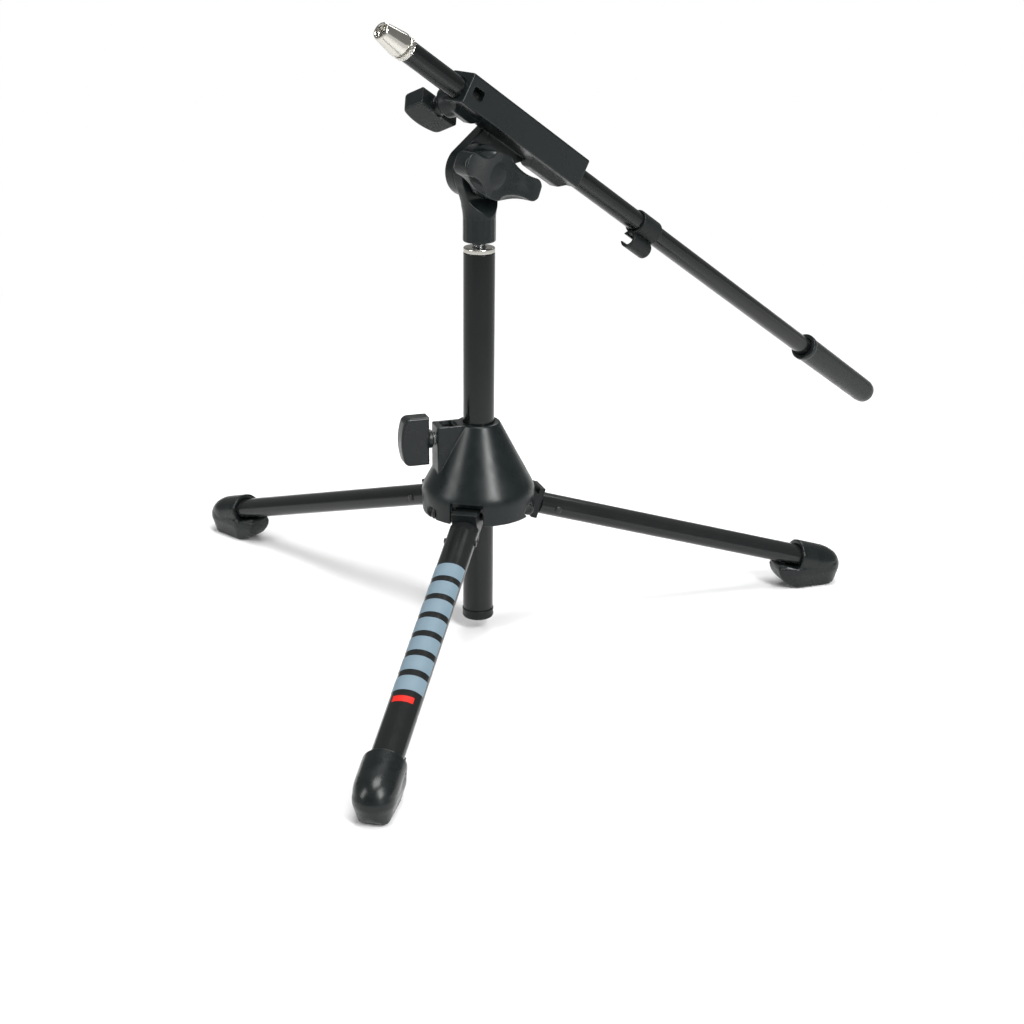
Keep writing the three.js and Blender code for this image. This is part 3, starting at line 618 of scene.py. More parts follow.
@dataclass
class ClampScrew:
    """A wing knob, its stud and its pressure shoe. Local frame: +X points out along the screw."""

    shoe_from: float
    mouth: float  # where the stud leaves its boss
    shoe: str
    stud: str
    knob: str
    shoe_body: str
    knob_body: str
    half: float = 17.5
    depth: float = 20.5
    thick: float = 12.5
    neck_r: float = 6.6
    neck: float = 3.2
    standoff: float = 2.2
    shoe_thick: float = 2.6

    def wing(self) -> Shape:
        """Returns the D-shaped wing with its round neck."""
        d, h = self.depth, self.half
        corner = bezier((d * 0.64, -h), (d * 0.8, -h), (d * 0.88, -h * 0.9), (d * 0.91, -h * 0.76), 10)
        flank = bezier((d * 0.91, -h * 0.76), (d * 0.97, -h * 0.5), (d, -h * 0.25), (d, 0), 12)
        half_way = [(0, -h), *corner, *flank[1:]]
        outline = [*half_way, *[(x, -y) for x, y in reversed(half_way[:-1])]]
        wing = across_y(outline, -self.thick / 2, self.thick / 2, 1.5, 3)
        neck = lathe([(0, -self.neck), (self.neck_r - 0.6, -self.neck), (self.neck_r, -self.neck + 0.6),
                      (self.neck_r, 0), (self.neck_r + 1.2, 2), (0, 2)], 64).along_x()
        hollow = bar(M8_R + GAP, -self.neck - 1, d * 0.63).along_x()
        return union_and_cut(wing, (Op.ADD, neck), (Op.CUT, hollow), grain=0.36, rounds=3)

    def build(self, place: Matrix) -> None:
        """Makes the three pieces in a frame."""
        shoe_to = self.shoe_from + self.shoe_thick
        wing_at = self.mouth + self.standoff + self.neck
        disc = softened([(0, self.shoe_from), (5, self.shoe_from), (5, shoe_to), (0, shoe_to)], 0.4, 3)
        add_piece(f"{self.shoe}_disc", lathe(disc, 48).along_x(), place, self.shoe_body, Look.NYLON,
                  self.shoe)
        stud = threaded_bar(M8_R, shoe_to + GAP, wing_at + self.depth * 0.58, M8_PITCH, shoe_to + 1)
        add_piece(f"{self.stud}_thread", stud.along_x(), place, self.knob_body, Look.ZINC, self.stud)
        add_piece(f"{self.knob}_wing", self.wing().shifted(wing_at), place, self.knob_body, Look.KNOB,
                  self.knob)


# ---------------------------------------------------------------- hub
@dataclass
class Hub:
    """The cone that carries the legs and clamps the column. Local frame: the column's."""

    top_z: float = 159.6
    top_r: float = 15.0
    wide_z: float = 110.6
    wide_r: float = 41.0
    bottom_z: float = 93.6
    bottom_r: float = 40.3
    wall: float = 3.4
    sleeve_r: float = 15.0
    sleeve_z: float = 98.0
    column_r: float = 11.0
    boss_azimuth: float = 156.2
    boss_reach: float = 32.5
    boss_half: float = 8.5
    boss_floor: float = 115.0
    stud_drop: float = 10.0
    roof_depth: float = 26.0
    slot_half: float = 11.7
    slot_top: float = 110.0
    slot_lip: float = 3.5
    cheek: float = 3.4
    web_inner_r: float = 14.0
    web_rise: float = 12.0
    stop_r: float = 30.5
    pin_boss_r: float = 5.6
    pocket: Pair = (19.0, 26.4)  # where the captive nut's pocket lies, out from the column
    nut_at: float = 19.4
    window: tuple[float, float, float, float] = (17.0, 28.0, 5.2, 1.6)  # from, to, half width, depth
    shoe_bore: tuple[float, float, float] = (5.4, 8.0, 17.4)  # radius, from, to
    pin_r: float = 29.5
    pin_z: float = 98.0
    pin_shank: float = 2.5
    pin_head: float = 4.0
    pin_in: float = 26.8
    pin_head_thick: float = 2.6
    pin_end: float = 15.5
    lug_r: float = 8.0

    def outline(self) -> Shape:
        """Returns the full cone with its soft crease and rolled skirt."""
        corners = [(0, self.bottom_z), (self.bottom_r, self.bottom_z), (self.wide_r, self.wide_z),
                   (self.top_r, self.top_z), (0, self.top_z)]
        return lathe(softened(corners, [0, 1.4, 5.0, 1.2, 0], 8), 160)

    def hollow(self) -> Shape:
        """Returns the room under the cone."""
        roof = self.top_z - self.roof_depth
        slope = (self.wide_r - self.top_r) / (self.top_z - self.wide_z)
        roof_r = self.top_r + (self.top_z - roof) * slope - self.wall
        return lathe([(self.sleeve_r, self.bottom_z - 1), (self.bottom_r - self.wall, self.bottom_z - 1),
                      (self.wide_r - self.wall, self.wide_z), (roof_r, roof), (self.sleeve_r, roof)], 96)

    def seats(self, azimuth: float) -> list[Shape]:
        """Returns the webs, stop and pin boss of one leg."""
        out, top = self.slot_half + self.cheek, self.wide_z + self.web_rise
        webs = [sorted((side * self.slot_half, side * out)) for side in (-1, 1)]
        parts = [block((self.web_inner_r, self.wide_r), web, (self.bottom_z, top)) for web in webs]
        parts.append(block((self.stop_r, self.wide_r), (-out, out), (self.pin_z + self.lug_r + 0.5, top)))
        boss = bar(self.pin_boss_r, -self.wide_r, -self.slot_half).along_y()
        parts.append(boss.shifted(self.pin_r, 0, self.pin_z))
        return [part.spun(azimuth, "Z") for part in parts]

    def leg_cuts(self, azimuth: float) -> list[Shape]:
        """Returns the slot, bore and counterbore of one leg."""
        inner, across = self.bottom_r - self.wall, (-self.slot_half, self.slot_half)
        low = self.bottom_z - 1
        cuts = [
            block((inner - 3, self.wide_r + 2), across, (low, self.slot_top - self.slot_lip)),
            block((inner, self.wide_r + 2), across, (low, self.slot_top)),
        ]
        bore = bar(self.pin_shank + GAP, -self.wide_r, self.pin_end + GAP)
        counterbore = bar(self.pin_head + 0.5, -self.wide_r, -self.pin_in + self.pin_head_thick + GAP)
        cuts += [tool.along_y().shifted(self.pin_r, 0, self.pin_z) for tool in (bore, counterbore)]
        return [tool.spun(azimuth, "Z") for tool in cuts]

    def casting(self, azimuths: Sequence[float]) -> Shape:
        """Returns the whole housing with its boss, slots and bores."""
        stud_z = self.top_z - self.stud_drop
        steps = [(Op.CUT, self.hollow()), (Op.CUT, bar(self.sleeve_r + 1, self.bottom_z - 1, self.sleeve_z))]
        shell = union_and_cut(self.outline(), *steps, grain=None)
        seats = [seat for azimuth in azimuths for seat in self.seats(azimuth)]
        webs = union_and_cut(seats[0], *[(Op.ADD, seat) for seat in seats[1:]], (Op.KEEP, self.outline()),
                             grain=None)
        plan = [(0, -self.boss_half), (self.boss_reach, -self.boss_half),
                (self.boss_reach, self.boss_half), (0, self.boss_half)]
        plan = softened(plan, [0, 1.6, 1.6, 0], 4, closed=True)
        boss = prism(plan, self.boss_floor, self.top_z)
        pocket_half, corner = NUT_FLATS / 2 + GAP, NUT_FLATS / math.sqrt(3)
        x0, x1, half, deep = self.window
        window = softened([(x0, -half), (x1, -half), (x1, half), (x0, half)], 1.2, 4, closed=True)
        shoe_r, shoe_from, shoe_to = self.shoe_bore
        cuts = [
            block(self.pocket, (-pocket_half, pocket_half), (stud_z - corner - GAP, self.top_z + 1)),
            prism(window, self.top_z - deep, self.top_z + 1),
            bar(M8_R + GAP, self.column_r, self.boss_reach + 1).along_x().shifted(z=stud_z),
            bar(shoe_r, shoe_from, shoe_to).along_x().shifted(z=stud_z),
        ]
        tools = [bar(self.column_r + GAP, self.bottom_z - 1, self.top_z + 1, 96)]
        tools += [cut.spun(self.boss_azimuth, "Z") for cut in cuts]
        tools += [cut for azimuth in azimuths for cut in self.leg_cuts(azimuth)]
        return union_and_cut(shell, (Op.ADD, webs), (Op.ADD, boss.spun(self.boss_azimuth, "Z")),
                             *[(Op.CUT, tool) for tool in tools], grain=0.5, rounds=5)

    def pin(self) -> Shape:
        """Returns a leg pin along Y about the pin's place, with a slightly domed, dimpled head."""
        end = -self.pin_in + self.pin_head_thick
        profile = [(0, -self.pin_in + 0.9), (1.2, -self.pin_in + 0.7), (1.6, -self.pin_in + 0.1),
                   (self.pin_head - 0.9, -self.pin_in), (self.pin_head, -self.pin_in + 0.8),
                   (self.pin_head, end), (self.pin_shank, end), (self.pin_shank, self.pin_end - 0.5),
                   (self.pin_shank - 0.5, self.pin_end), (0, self.pin_end)]
        return lathe(profile, 48).along_y()

    def build(self, place: Matrix, azimuths: dict[str, float]) -> None:
        """Makes the housing, its captive nut, its leg pins and the height clamp."""
        casting = self.casting(list(azimuths.values()))
        add_piece("hub_casting", casting, place, "base", Look.CASTING, "hub_housing")
        clamp = place @ Matrix.Translation((0, 0, self.top_z - self.stud_drop))
        clamp = clamp @ rotation(self.boss_azimuth, "Z")
        nut = hex_nut(NUT_HEIGHT).spun(30, "Z").along_x().shifted(self.nut_at)
        add_piece("hub_captive_nut", nut, clamp, "base", Look.ZINC, "height_clamp_nut")
        for name, azimuth in azimuths.items():
            upright = place @ rotation(azimuth, "Z")
            at_pin = upright @ Matrix.Translation((self.pin_r, 0, self.pin_z))
            add_piece(f"{name}_hinge_pin", self.pin(), at_pin, "base", Look.BLACK_STEEL, f"{name}_leg_pin")
        ClampScrew(self.column_r + 2 * GAP, self.boss_reach, "height_clamp_shoe", "height_knob_stud",
                   "height_knob", "base", "height_knob").build(clamp)


# ---------------------------------------------------------------- legs
@dataclass
class Leg:
    """One folding leg. Local frames: upright, with X outwards along the floor, and the leg's own,
    with X down the leg from its pin."""

    name: str
    azimuth: float
    droop: float = 17.47
    pin_r: float = 29.5
    pin_z: float = 98.0
    half_w: float = 10.6
    half_h: float = 7.85
    wall: float = 1.3
    start: float = 16.3
    end: float = 271.0
    lug_half: float = 9.0
    lug_r: float = 8.0
    collar: Pair = (11.6, 16.0)
    collar_z: Pair = (-10.0, 13.0)
    spigot_end: float = 48.0
    pin_bore: float = 2.8
    rivet_x: float = 30.0
    rivet_r: float = 1.7
    rivet_head: float = 2.5
    foot_half: float = 14.25
    heel_half: float = 10.0
    heel_r: float = 242.5
    heel_z: float = 19.5
    mouth_r: float = 262.5
    outer_r: float = 299.0
    foot_top: float = 37.3
    sole: Pair = (262.0, 286.0)
    ridge: Pair = (14.0, 11.7)  # half width and half height of the boot's ridge over the tube
    ridge_span: Pair = (226.0, 280.6)  # where the ridge runs, down the leg
    ink: Pair = (0.04, 0.16)  # bottom and top of the printed bands above the tube
    band_spread: float = 76.0
    red_spread: float = 40.0
    red_share: float = 0.4  # width of the red band as a share of the others'

    def tube(self) -> Shape:
        """Returns the oval leg tube."""
        outer = oval(self.half_w, self.half_h)
        inner = oval(self.half_w - self.wall, self.half_h - self.wall)
        return tube(outer, inner, self.start, self.end, 0.35).moved(YZ_ALONG_X)

    def fitting(self) -> Shape:
        """Returns the pivot lug, its collar and the spigot inside the tube."""
        behind = self.collar[0] + 1
        lug = [(behind, -self.lug_r), (behind, self.lug_r), (0, self.lug_r)]
        lug += arc(0, 0, self.lug_r, 90, 270, 28)[1:]
        inset_by = self.wall + GAP
        spigot = across_x(oval(self.half_w - inset_by, self.half_h - inset_by, 48),
                          self.collar[1] - 1, self.spigot_end)
        collar = block(self.collar, (-self.lug_half, self.lug_half), self.collar_z)
        return union_and_cut(
            across_y(lug, -self.lug_half, self.lug_half), (Op.ADD, collar), (Op.ADD, spigot),
            (Op.CUT, bar(self.pin_bore, -20, 20, 32).along_y()),
            (Op.CUT, bar(self.rivet_r + GAP, -20, 20, 32).along_y().shifted(self.rivet_x)),
            grain=0.4, rounds=3)

    def rivet(self) -> Shape:
        """Returns the cross rivet with its two domed heads."""
        under = self.half_w + GAP
        wide = self.rivet_head
        head = [(self.rivet_r, under), (wide, under), (wide, under + 0.2), (wide - 0.4, under + 0.55),
                (wide - 1.3, under + 0.76), (0, under + 0.8)]
        return lathe([*[(r, -z) for r, z in reversed(head)], *head], 40).along_y()

    def boot_side(self) -> Shape:
        """Returns the boot's side view, as wide as needed: sole, toe, sloping top and hugging heel."""
        m, o, hr, hz = self.mouth_r, self.outer_r, self.heel_r, self.heel_z
        toe = self.sole[1]
        side = [(self.sole[0], 0), (toe, 0)]
        side += bezier((toe, 0), (toe + 9, 0), (o + 1, 12), (o - 1, hz - 0.5), 10)[1:]
        side += bezier((o - 1, hz - 0.5), (o - 3, 26), (o - 8, 28), (o - 12, 29), 8)[1:]
        side += [(m, self.foot_top), (m - 3.5, hz - 2), (hr + 1.5, hz + 2.5), (hr, hz)]
        side += bezier((hr, hz), (hr + 1, 8), (hr + 10, 1), (self.sole[0], 0), 10)[1:-1]
        return across_y(side, -20, 20)

    def boot_skirt(self) -> Shape:
        """Returns the boot's lower body: a round-nosed plan that tucks in towards sole and shoulder."""
        toe = self.outer_r - self.foot_half
        plan = [(self.heel_r - 1, -self.heel_half), (self.mouth_r - 2, -self.foot_half)]
        plan += arc(toe, 0, self.foot_half, -90, 90, 36)
        plan += [(self.mouth_r - 2, self.foot_half), (self.heel_r - 1, self.heel_half)]
        tucks = [(5.4, 0), (4.3, 1.2), (3.5, 4), (2.1, 9), (0.9, 13), (0.9, 17), (2.2, 20), (4.6, 22.5)]
        return stacked(plan, tucks)

    def on_leg(self, shape: Shape) -> Shape:
        """Returns a shape drawn down the leg, brought to the upright frame."""
        return shape.spun(self.droop, "Y").shifted(self.pin_r, 0, self.pin_z)

    def boot(self) -> Shape:
        """Returns the rubber boot with the socket that the tube sits in."""
        start, end = self.ridge_span
        profile = [(0, start), (1, start), *bezier((1, end - 20), (1, end - 8), (0.62, end), (0, end), 18)]
        ridge = lathe(profile, 72).moved(Matrix.Diagonal((self.ridge[1], self.ridge[0], 1, 1))).along_x()
        body = union_and_cut(self.boot_skirt(), (Op.ADD, self.on_leg(ridge)), (Op.KEEP, self.boot_side()),
                             grain=0.6, rounds=12)
        socket = across_x(oval(self.half_w + GAP, self.half_h + GAP), 200, self.end + GAP)
        floor = block((230, 310), (-20, 20), (0, 60))
        return union_and_cut(body, (Op.CUT, self.on_leg(socket)), (Op.KEEP, floor), grain=0.42, rounds=3)

    def patch(self, s0: float, s1: float, spread: float) -> Shape:
        """Returns a thin printed patch wrapped over the top of the tube from s0 to s1."""
        angles = [90 + spread * (2 * k / 24 - 1) for k in range(25)]
        loops = []
        low, high = self.ink
        for x, lift in ((s0, low), (s0, high), (s1, high), (s1, low)):
            w, h = self.half_w + lift, self.half_h + lift
            loops.append([Vector((x, w * math.cos(math.radians(a)), h * math.sin(math.radians(a))))
                          for a in angles])
        n = len(angles)
        points = [p for loop in loops for p in loop]
        faces: list[tuple[int, ...]] = []
        for level in range(4):
            a, b = level * n, (level + 1) % 4 * n
            faces += [(a + k, a + k + 1, b + k + 1, b + k) for k in range(n - 1)]
        faces += [(0, n, 2 * n, 3 * n), (n - 1, 2 * n - 1, 3 * n - 1, 4 * n - 1)]
        return Shape(points, faces)

    def frames(self, place: Matrix) -> tuple[Matrix, Matrix]:
        """Returns the upright frame and the leg's own frame."""
        upright = place @ rotation(self.azimuth, "Z")
        own = upright @ Matrix.Translation((self.pin_r, 0, self.pin_z))
        return upright, own @ rotation(self.droop, "Y")

    def build(self, place: Matrix, boot: Shape) -> None:
        """Makes the leg's pieces; the boot's shape is shared by all legs."""
        upright, own = self.frames(place)
        body = f"{self.name}_leg"
        add_piece(f"{body}_oval_tube", self.tube(), own, body, Look.TUBE, f"{body}_tube")
        add_piece(f"{body}_pivot_fitting", self.fitting(), own, body, Look.NYLON, f"{body}_fitting")
        add_piece(f"{body}_cross_rivet", self.rivet().shifted(self.rivet_x), own, body,
                  Look.BLACK_STEEL, f"{body}_rivet")
        add_piece(f"{self.name}_rubber_boot", boot, upright, body, Look.RUBBER, f"{self.name}_foot")

    def stripes(self, place: Matrix, first: float, count: int, width: float, pitch: float) -> None:
        """Makes the plain printed bands on this leg, the last one red."""
        _, own = self.frames(place)
        for k in range(count):
            at = first + k * pitch
            add_piece(f"{self.name}_leg_band_{k + 1}", self.patch(at, at + width, self.band_spread), own,
                      f"{self.name}_leg", Look.STRIPE_PALE)
        at = first + count * pitch
        red = self.patch(at, at + width * self.red_share, self.red_spread)
        add_piece(f"{self.name}_leg_band_red", red, own, f"{self.name}_leg", Look.STRIPE_RED)


# ---------------------------------------------------------------- column
@dataclass
class Column:
    """The sliding column with its cap, insert and stud. Local frame: the column's."""

    r: float = 11.0
    wall: float = 1.25
    bottom: float = 8.5
    top: float = 281.4
    cap_r: float = 11.5
    cap_height: float = 7.0
    plug: float = 14.0
    flange: float = 3.3
    insert_plug: float = 26.0
    stud_r: float = 4.75
    stud_exposed: float = 4.0
    stud_in: float = 12.0

    def build(self, place: Matrix) -> float:
        """Makes the column's pieces and returns the height where the swivel starts."""
        bore = self.r - self.wall
        plug_r = bore - GAP
        tube_bottom = self.bottom + self.cap_height + GAP
        ring = softened([(bore, tube_bottom), (self.r, tube_bottom), (self.r, self.top - GAP),
                         (bore, self.top - GAP)], 0.35, 3, closed=True)
        add_piece("column_sliding_tube", lathe(ring, 128), place, "column", Look.TUBE, "column_tube")
        cap = [(0, self.bottom), (self.cap_r - 0.6, self.bottom), (self.cap_r, self.bottom + 1.6),
               (self.cap_r - 0.35, self.bottom + 3.4), (self.cap_r, tube_bottom - GAP),
               (plug_r, tube_bottom - GAP), (plug_r, tube_bottom + self.plug), (0, tube_bottom + self.plug)]
        add_piece("column_foot_cap", lathe(softened(cap, [0, 1.2, 1.0, 1.0, 0.5, 0, 1, 0], 5), 96), place,
                  "column", Look.NYLON, "column_end_cap")
        flange_top = self.top + self.flange
        inner, plug_bottom = self.stud_r + GAP, self.top - self.insert_plug
        insert = [(inner, plug_bottom), (plug_r, plug_bottom), (plug_r, self.top), (self.r, self.top),
                  (self.r, flange_top), (inner, flange_top)]
        insert = softened(insert, [0.3, 0.8, 0, 0.3, 0.9, 0.4], 4, closed=True)
        add_piece("column_nickel_insert", lathe(insert, 96), place, "column", Look.NICKEL, "column_insert")
        swivel_from = flange_top + self.stud_exposed
        stud = threaded_bar(self.stud_r, self.top - self.insert_plug + 2, swivel_from + self.stud_in,
                            STAND_PITCH, self.top - 4)
        add_piece("column_thread", stud, place, "column", Look.ZINC, "thread_stud")
        return swivel_from


# ---------------------------------------------------------------- swivel
@dataclass
class Swivel:
    """The turning base below the friction joint. Local frame: the column's."""

    bottom: float
    barrel_r: float = 11.4
    barrel_height: float = 18.0
    sides: int = 16
    bore_depth: float = 14.0
    stud_r: float = 4.75
    pivot_z: float = 335.5
    disc_r: float = 19.0
    near: float = 4.0
    far: float = 5.0
    washer_r: float = 17.0
    washer_thick: float = 1.0

    def flare(self) -> Shape:
        """Returns the part that widens from the barrel into the disc."""
        shoulder, wide = self.bottom + self.barrel_height, self.disc_r
        rise = self.pivot_z - shoulder
        rim = arc(0, self.pivot_z, wide, math.degrees(-0.45), 180 + math.degrees(0.45), 64)
        neck = bezier((self.barrel_r, shoulder), (self.barrel_r + 1.2, shoulder + rise * 0.3),
                      (wide * 0.82, self.pivot_z - wide * 0.75), rim[0], 10)
        front = [(self.barrel_r, shoulder - 1), *neck[:-1], *rim, *[(-x, z) for x, z in reversed(neck[:-1])],
                 (-self.barrel_r, shoulder - 1)]
        side = [(-self.barrel_r, shoulder - 1), (self.barrel_r, shoulder - 1), (self.barrel_r, shoulder),
                *bezier((self.barrel_r, shoulder + 0.2), (self.barrel_r - 1.5, shoulder + rise * 0.2),
                        (self.far + 1.5, shoulder + rise * 0.2), (self.far, shoulder + rise * 0.36), 10),
                (self.far, self.pivot_z + wide + 1), (-self.near, self.pivot_z + wide + 1),
                *bezier((-self.near, shoulder + rise * 0.42), (-self.near - 1.5, shoulder + rise * 0.24),
                        (-self.barrel_r + 1.5, shoulder + rise * 0.2), (-self.barrel_r, shoulder + 0.2), 10)]
        above = self.pivot_z + wide + 1
        skirt = [(0, shoulder - 1), (self.barrel_r, shoulder - 1), (self.barrel_r, shoulder),
                 *bezier((self.barrel_r + 0.1, shoulder + 1), (self.barrel_r + 1, shoulder + rise * 0.35),
                         (wide - 2, shoulder + rise * 0.6), (wide + 1.5, self.pivot_z), 12),
                 (wide + 1.5, above), (0, above)]
        return union_and_cut(across_y(front, -self.barrel_r, self.barrel_r),
                             (Op.KEEP, across_x(side, -wide - 1, wide + 1)), (Op.KEEP, lathe(skirt)),
                             grain=None)

    def build(self, place: Matrix) -> None:
        """Makes the swivel casting and the friction washer on its far side."""
        shoulder = self.bottom + self.barrel_height
        section = arc(0, 0, self.barrel_r, 0, 360 - 360 / self.sides, self.sides - 1)
        barrel = prism(section, self.bottom, shoulder, 0.7, 2)
        bore = bar(self.stud_r + GAP, self.bottom - 1, self.bottom + self.bore_depth)
        shape = union_and_cut(
            self.flare(), (Op.ADD, barrel), (Op.CUT, bore),
            (Op.CUT, bar(M8_R + GAP, -20, 20).along_y().shifted(z=self.pivot_z)), grain=0.4, rounds=3)
        add_piece("swivel_casting", shape, place, "swivel", Look.CASTING, "swivel_base")
        ring = washer(M8_R + GAP, self.washer_r, self.far + GAP, self.far + GAP + self.washer_thick)
        add_piece("swivel_friction_ring", ring.along_y().shifted(z=self.pivot_z), place, "swivel",
                  Look.RUBBER, "friction_washer")


# ---------------------------------------------------------------- boom clamp
@dataclass
class BoomClamp:
    """The long clamp block and the tilt joint's hardware. Local frame: the boom's."""

    pivot: Pair
    front: float = 24.0
    rear: float = -104.0
    half: float = 11.5
    top: float = 12.0
    bottom: float = -9.5
    neck_front: float = -19.0
    neck_rear: float = -69.0
    lobe_slope: float = 5.0
    lobe_z: Pair = (-14.0, -2.0)
    lobes: tuple[Pair, Pair] = ((-6.0, 22.0), (-102.0, -60.0))
    screw_s: float = 14.0
    screw_lean: float = 28.0
    boss_r: float = 10.5
    boss_from: float = 8.0
    boss_to: float = 17.5
    window: tuple[float, float, float] = (10.0, 7.0, 1.5)  # width, height and centre height
    shoe_bore: Pair = (5.4, 6.2)  # radius, and depth below the boom's surface
    boom_r: float = 7.5
    disc_r: float = 17.5
    disc_in: float = 6.6
    disc_out: float = 16.0
    hub_r: float = 16.5
    handle_foot: float = 6.0
    thrust_r: float = 11.0
    thrust_from: float = 4.3
    bolt_thread: Pair = (6.2, 17.3)
    reach: float = 37.0
    fin_from: float = 12.6
    fin_to: float = 26.0
    fin_root: float = 9.0
    fin_tip: float = 8.0
    handle_top: float = 20.0
    handle_bore_to: float = 18.5
    nut_pocket: float = 7.0
    scoop: tuple[float, float, float] = (17.0, 9.0, 7.5)
    scoop_at: tuple[float, float, float] = (21.0, 24.5, 14.6)
    handle_turn: float = 9.9  # from the boom's frame to the handle's

    def lobe(self, start: float, end: float) -> Shape:
        """Returns one angular saddle lobe; its ends slope inwards towards the bottom."""
        section = [(-13, -2), (-13, -9), (-9, -14), (-1, -14), (3, -9.5), (3, -2)]
        section = softened(section, 1.6, 3, closed=True)
        slope, low, high = self.lobe_slope, *self.lobe_z
        ends = [(start, high), (start, low + slope), (start + slope, low), (end - slope, low),
                (end, low + slope), (end, high)]
        return union_and_cut(across_x(section, start, end),
                             (Op.KEEP, across_y(softened(ends, 1.2, 3, closed=True), -20, 12)), grain=None)

    def on_screw(self, shape: Shape) -> Shape:
        """Returns a shape drawn along -Y, laid on the leaning axis of the clamp screw."""
        return shape.spun(self.screw_lean, "X").shifted(self.screw_s)

    def casting(self) -> Shape:
        """Returns the clamp block with its neck, bosses, bore and window."""
        (ps, pz), (shoe_r, shoe_depth) = self.pivot, self.shoe_bore
        section = softened([(-self.half, self.bottom), (self.half, self.bottom), (self.half, self.top),
                            (-self.half, self.top)], [1.2, 1.2, 1.6, 3.0], 6, closed=True)
        bar_block = across_x(section, self.rear, self.front, 0.9, 3)
        neck = [(self.neck_rear, self.bottom + 3), (ps - self.disc_r * 0.9, pz + self.disc_r * 0.44)]
        neck += arc(ps, pz, self.disc_r, 180 - math.degrees(0.45), 360 + math.degrees(0.3), 48)
        neck += [(self.neck_front, self.bottom + 3)]
        cheek = across_y(neck, -self.disc_out, -self.disc_in, 0.8, 2)
        boss = softened([(0, -self.boss_to), (self.boss_r, -self.boss_to), (self.boss_r, -self.boss_from),
                         (0, -self.boss_from)], [0, 1.0, 0, 0], 3)
        wide, high, at = self.window
        s0, s1 = self.screw_s - wide / 2, self.screw_s + wide / 2
        z0, z1 = at - high / 2, at + high / 2
        window = softened([(s0, z0), (s1, z0), (s1, z1), (s0, z1)], 1.8, 5, closed=True)
        boss = self.on_screw(lathe(boss, 64).along_y())
        cuts = [
            bar(self.boom_r + GAP, self.rear - 5, self.front + 5, 96).along_x(),
            across_y(window, self.boom_r - 1, self.half + 1),
            self.on_screw(bar(M8_R + GAP, -self.boss_to - 1, 0).along_y()),
            self.on_screw(bar(shoe_r, -self.boom_r - shoe_depth, 0).along_y()),
            bar(M8_R + GAP, -20, 0).along_y().shifted(ps, 0, pz),
        ]
        adds = [cheek, boss, *[self.lobe(start, end) for start, end in self.lobes]]
        return union_and_cut(bar_block, *[(Op.ADD, a) for a in adds], *[(Op.CUT, c) for c in cuts],
                             grain=0.42, rounds=4)

    def handle(self) -> Shape:
        """Returns the T handle: a domed hub and two wide scooped fins. Local Y points out."""
        dome = [(0, self.handle_foot), (self.hub_r - 1, self.handle_foot), (self.hub_r, self.handle_foot + 2),
                (self.hub_r - 0.8, 12), (12.4, 16.4), (7.4, 19.2), (0, self.handle_top)]
        hub = lathe(softened(dome, [0, 0.6, 1.4, 2.5, 3, 3, 0], 5), 96).along_y()
        reach, low, high = self.reach, self.fin_from, self.fin_to
        root, tip = self.fin_root, self.fin_tip
        end = bezier((reach - 8, -tip), (reach + 1.5, -tip), (reach + 1.5, tip), (reach - 8, tip), 24)
        flank = bezier((4, self.hub_r - 0.8), (15, root + 5), (19, tip + 1), (reach - 8, tip), 12)
        span = [(-2, -self.hub_r + 0.8), *[(x, -y) for x, y in flank], *end[1:-1], *reversed(flank),
                (-2, self.hub_r - 0.8)]
        trim = [(0, low - 1), (reach - 4, low - 1)]
        trim += bezier((reach - 4, low - 1), (reach, 13), (reach + 3, 20), (reach - 2, high), 14)[1:]
        trim += bezier((reach - 2, high), (24, high), (18, 20), (0, 18), 14)[1:]
        fin = union_and_cut(across_y(span, low, high), (Op.KEEP, prism(trim, -17, 17)), grain=None)
        scoops = []
        for side in (-1, 1):
            ball = [(math.sin(a), -math.cos(a)) for a in [math.pi * k / 24 for k in range(25)]]
            ball[0], ball[-1] = (0, -1), (0, 1)
            scoop = lathe(ball, 48).moved(Matrix.Diagonal((*self.scoop, 1)))
            x, y, z = self.scoop_at
            scoops.append(scoop.shifted(x, y, side * z))
        carved = union_and_cut(fin, *[(Op.CUT, scoop) for scoop in scoops], grain=None)
        wings = [carved.spun(turn, "Y") for turn in (0, 180)]
        pocket = prism(hexagon(NUT_FLATS + 2 * GAP), self.handle_foot - 1,
                       self.handle_foot + self.nut_pocket).along_y()
        bore = bar(M8_R + GAP, self.handle_foot - 1, self.handle_bore_to).along_y()
        return union_and_cut(hub, *[(Op.ADD, wing) for wing in wings], (Op.CUT, pocket), (Op.CUT, bore),
                             grain=0.4, rounds=10)

    def bolt(self) -> Shape:
        """Returns the carriage bolt through the tilt joint, head on the far side."""
        seat = -self.disc_out - GAP
        head = bezier((0, seat - 4), (4.5, seat - 4), (7.6, seat - 2.4), (8, seat - 0.5), 10)
        low, high = self.bolt_thread
        profile = [*head, (8, seat), (M8_R, seat), (M8_R, 6), *[(M8_R, z) for z in rows(low, high, 0.21)],
                   (M8_R - 0.5, 18), (0, 18)]
        return lathe(profile, 48, helix(M8_PITCH, 0.6, low, high, M8_R)).along_y()

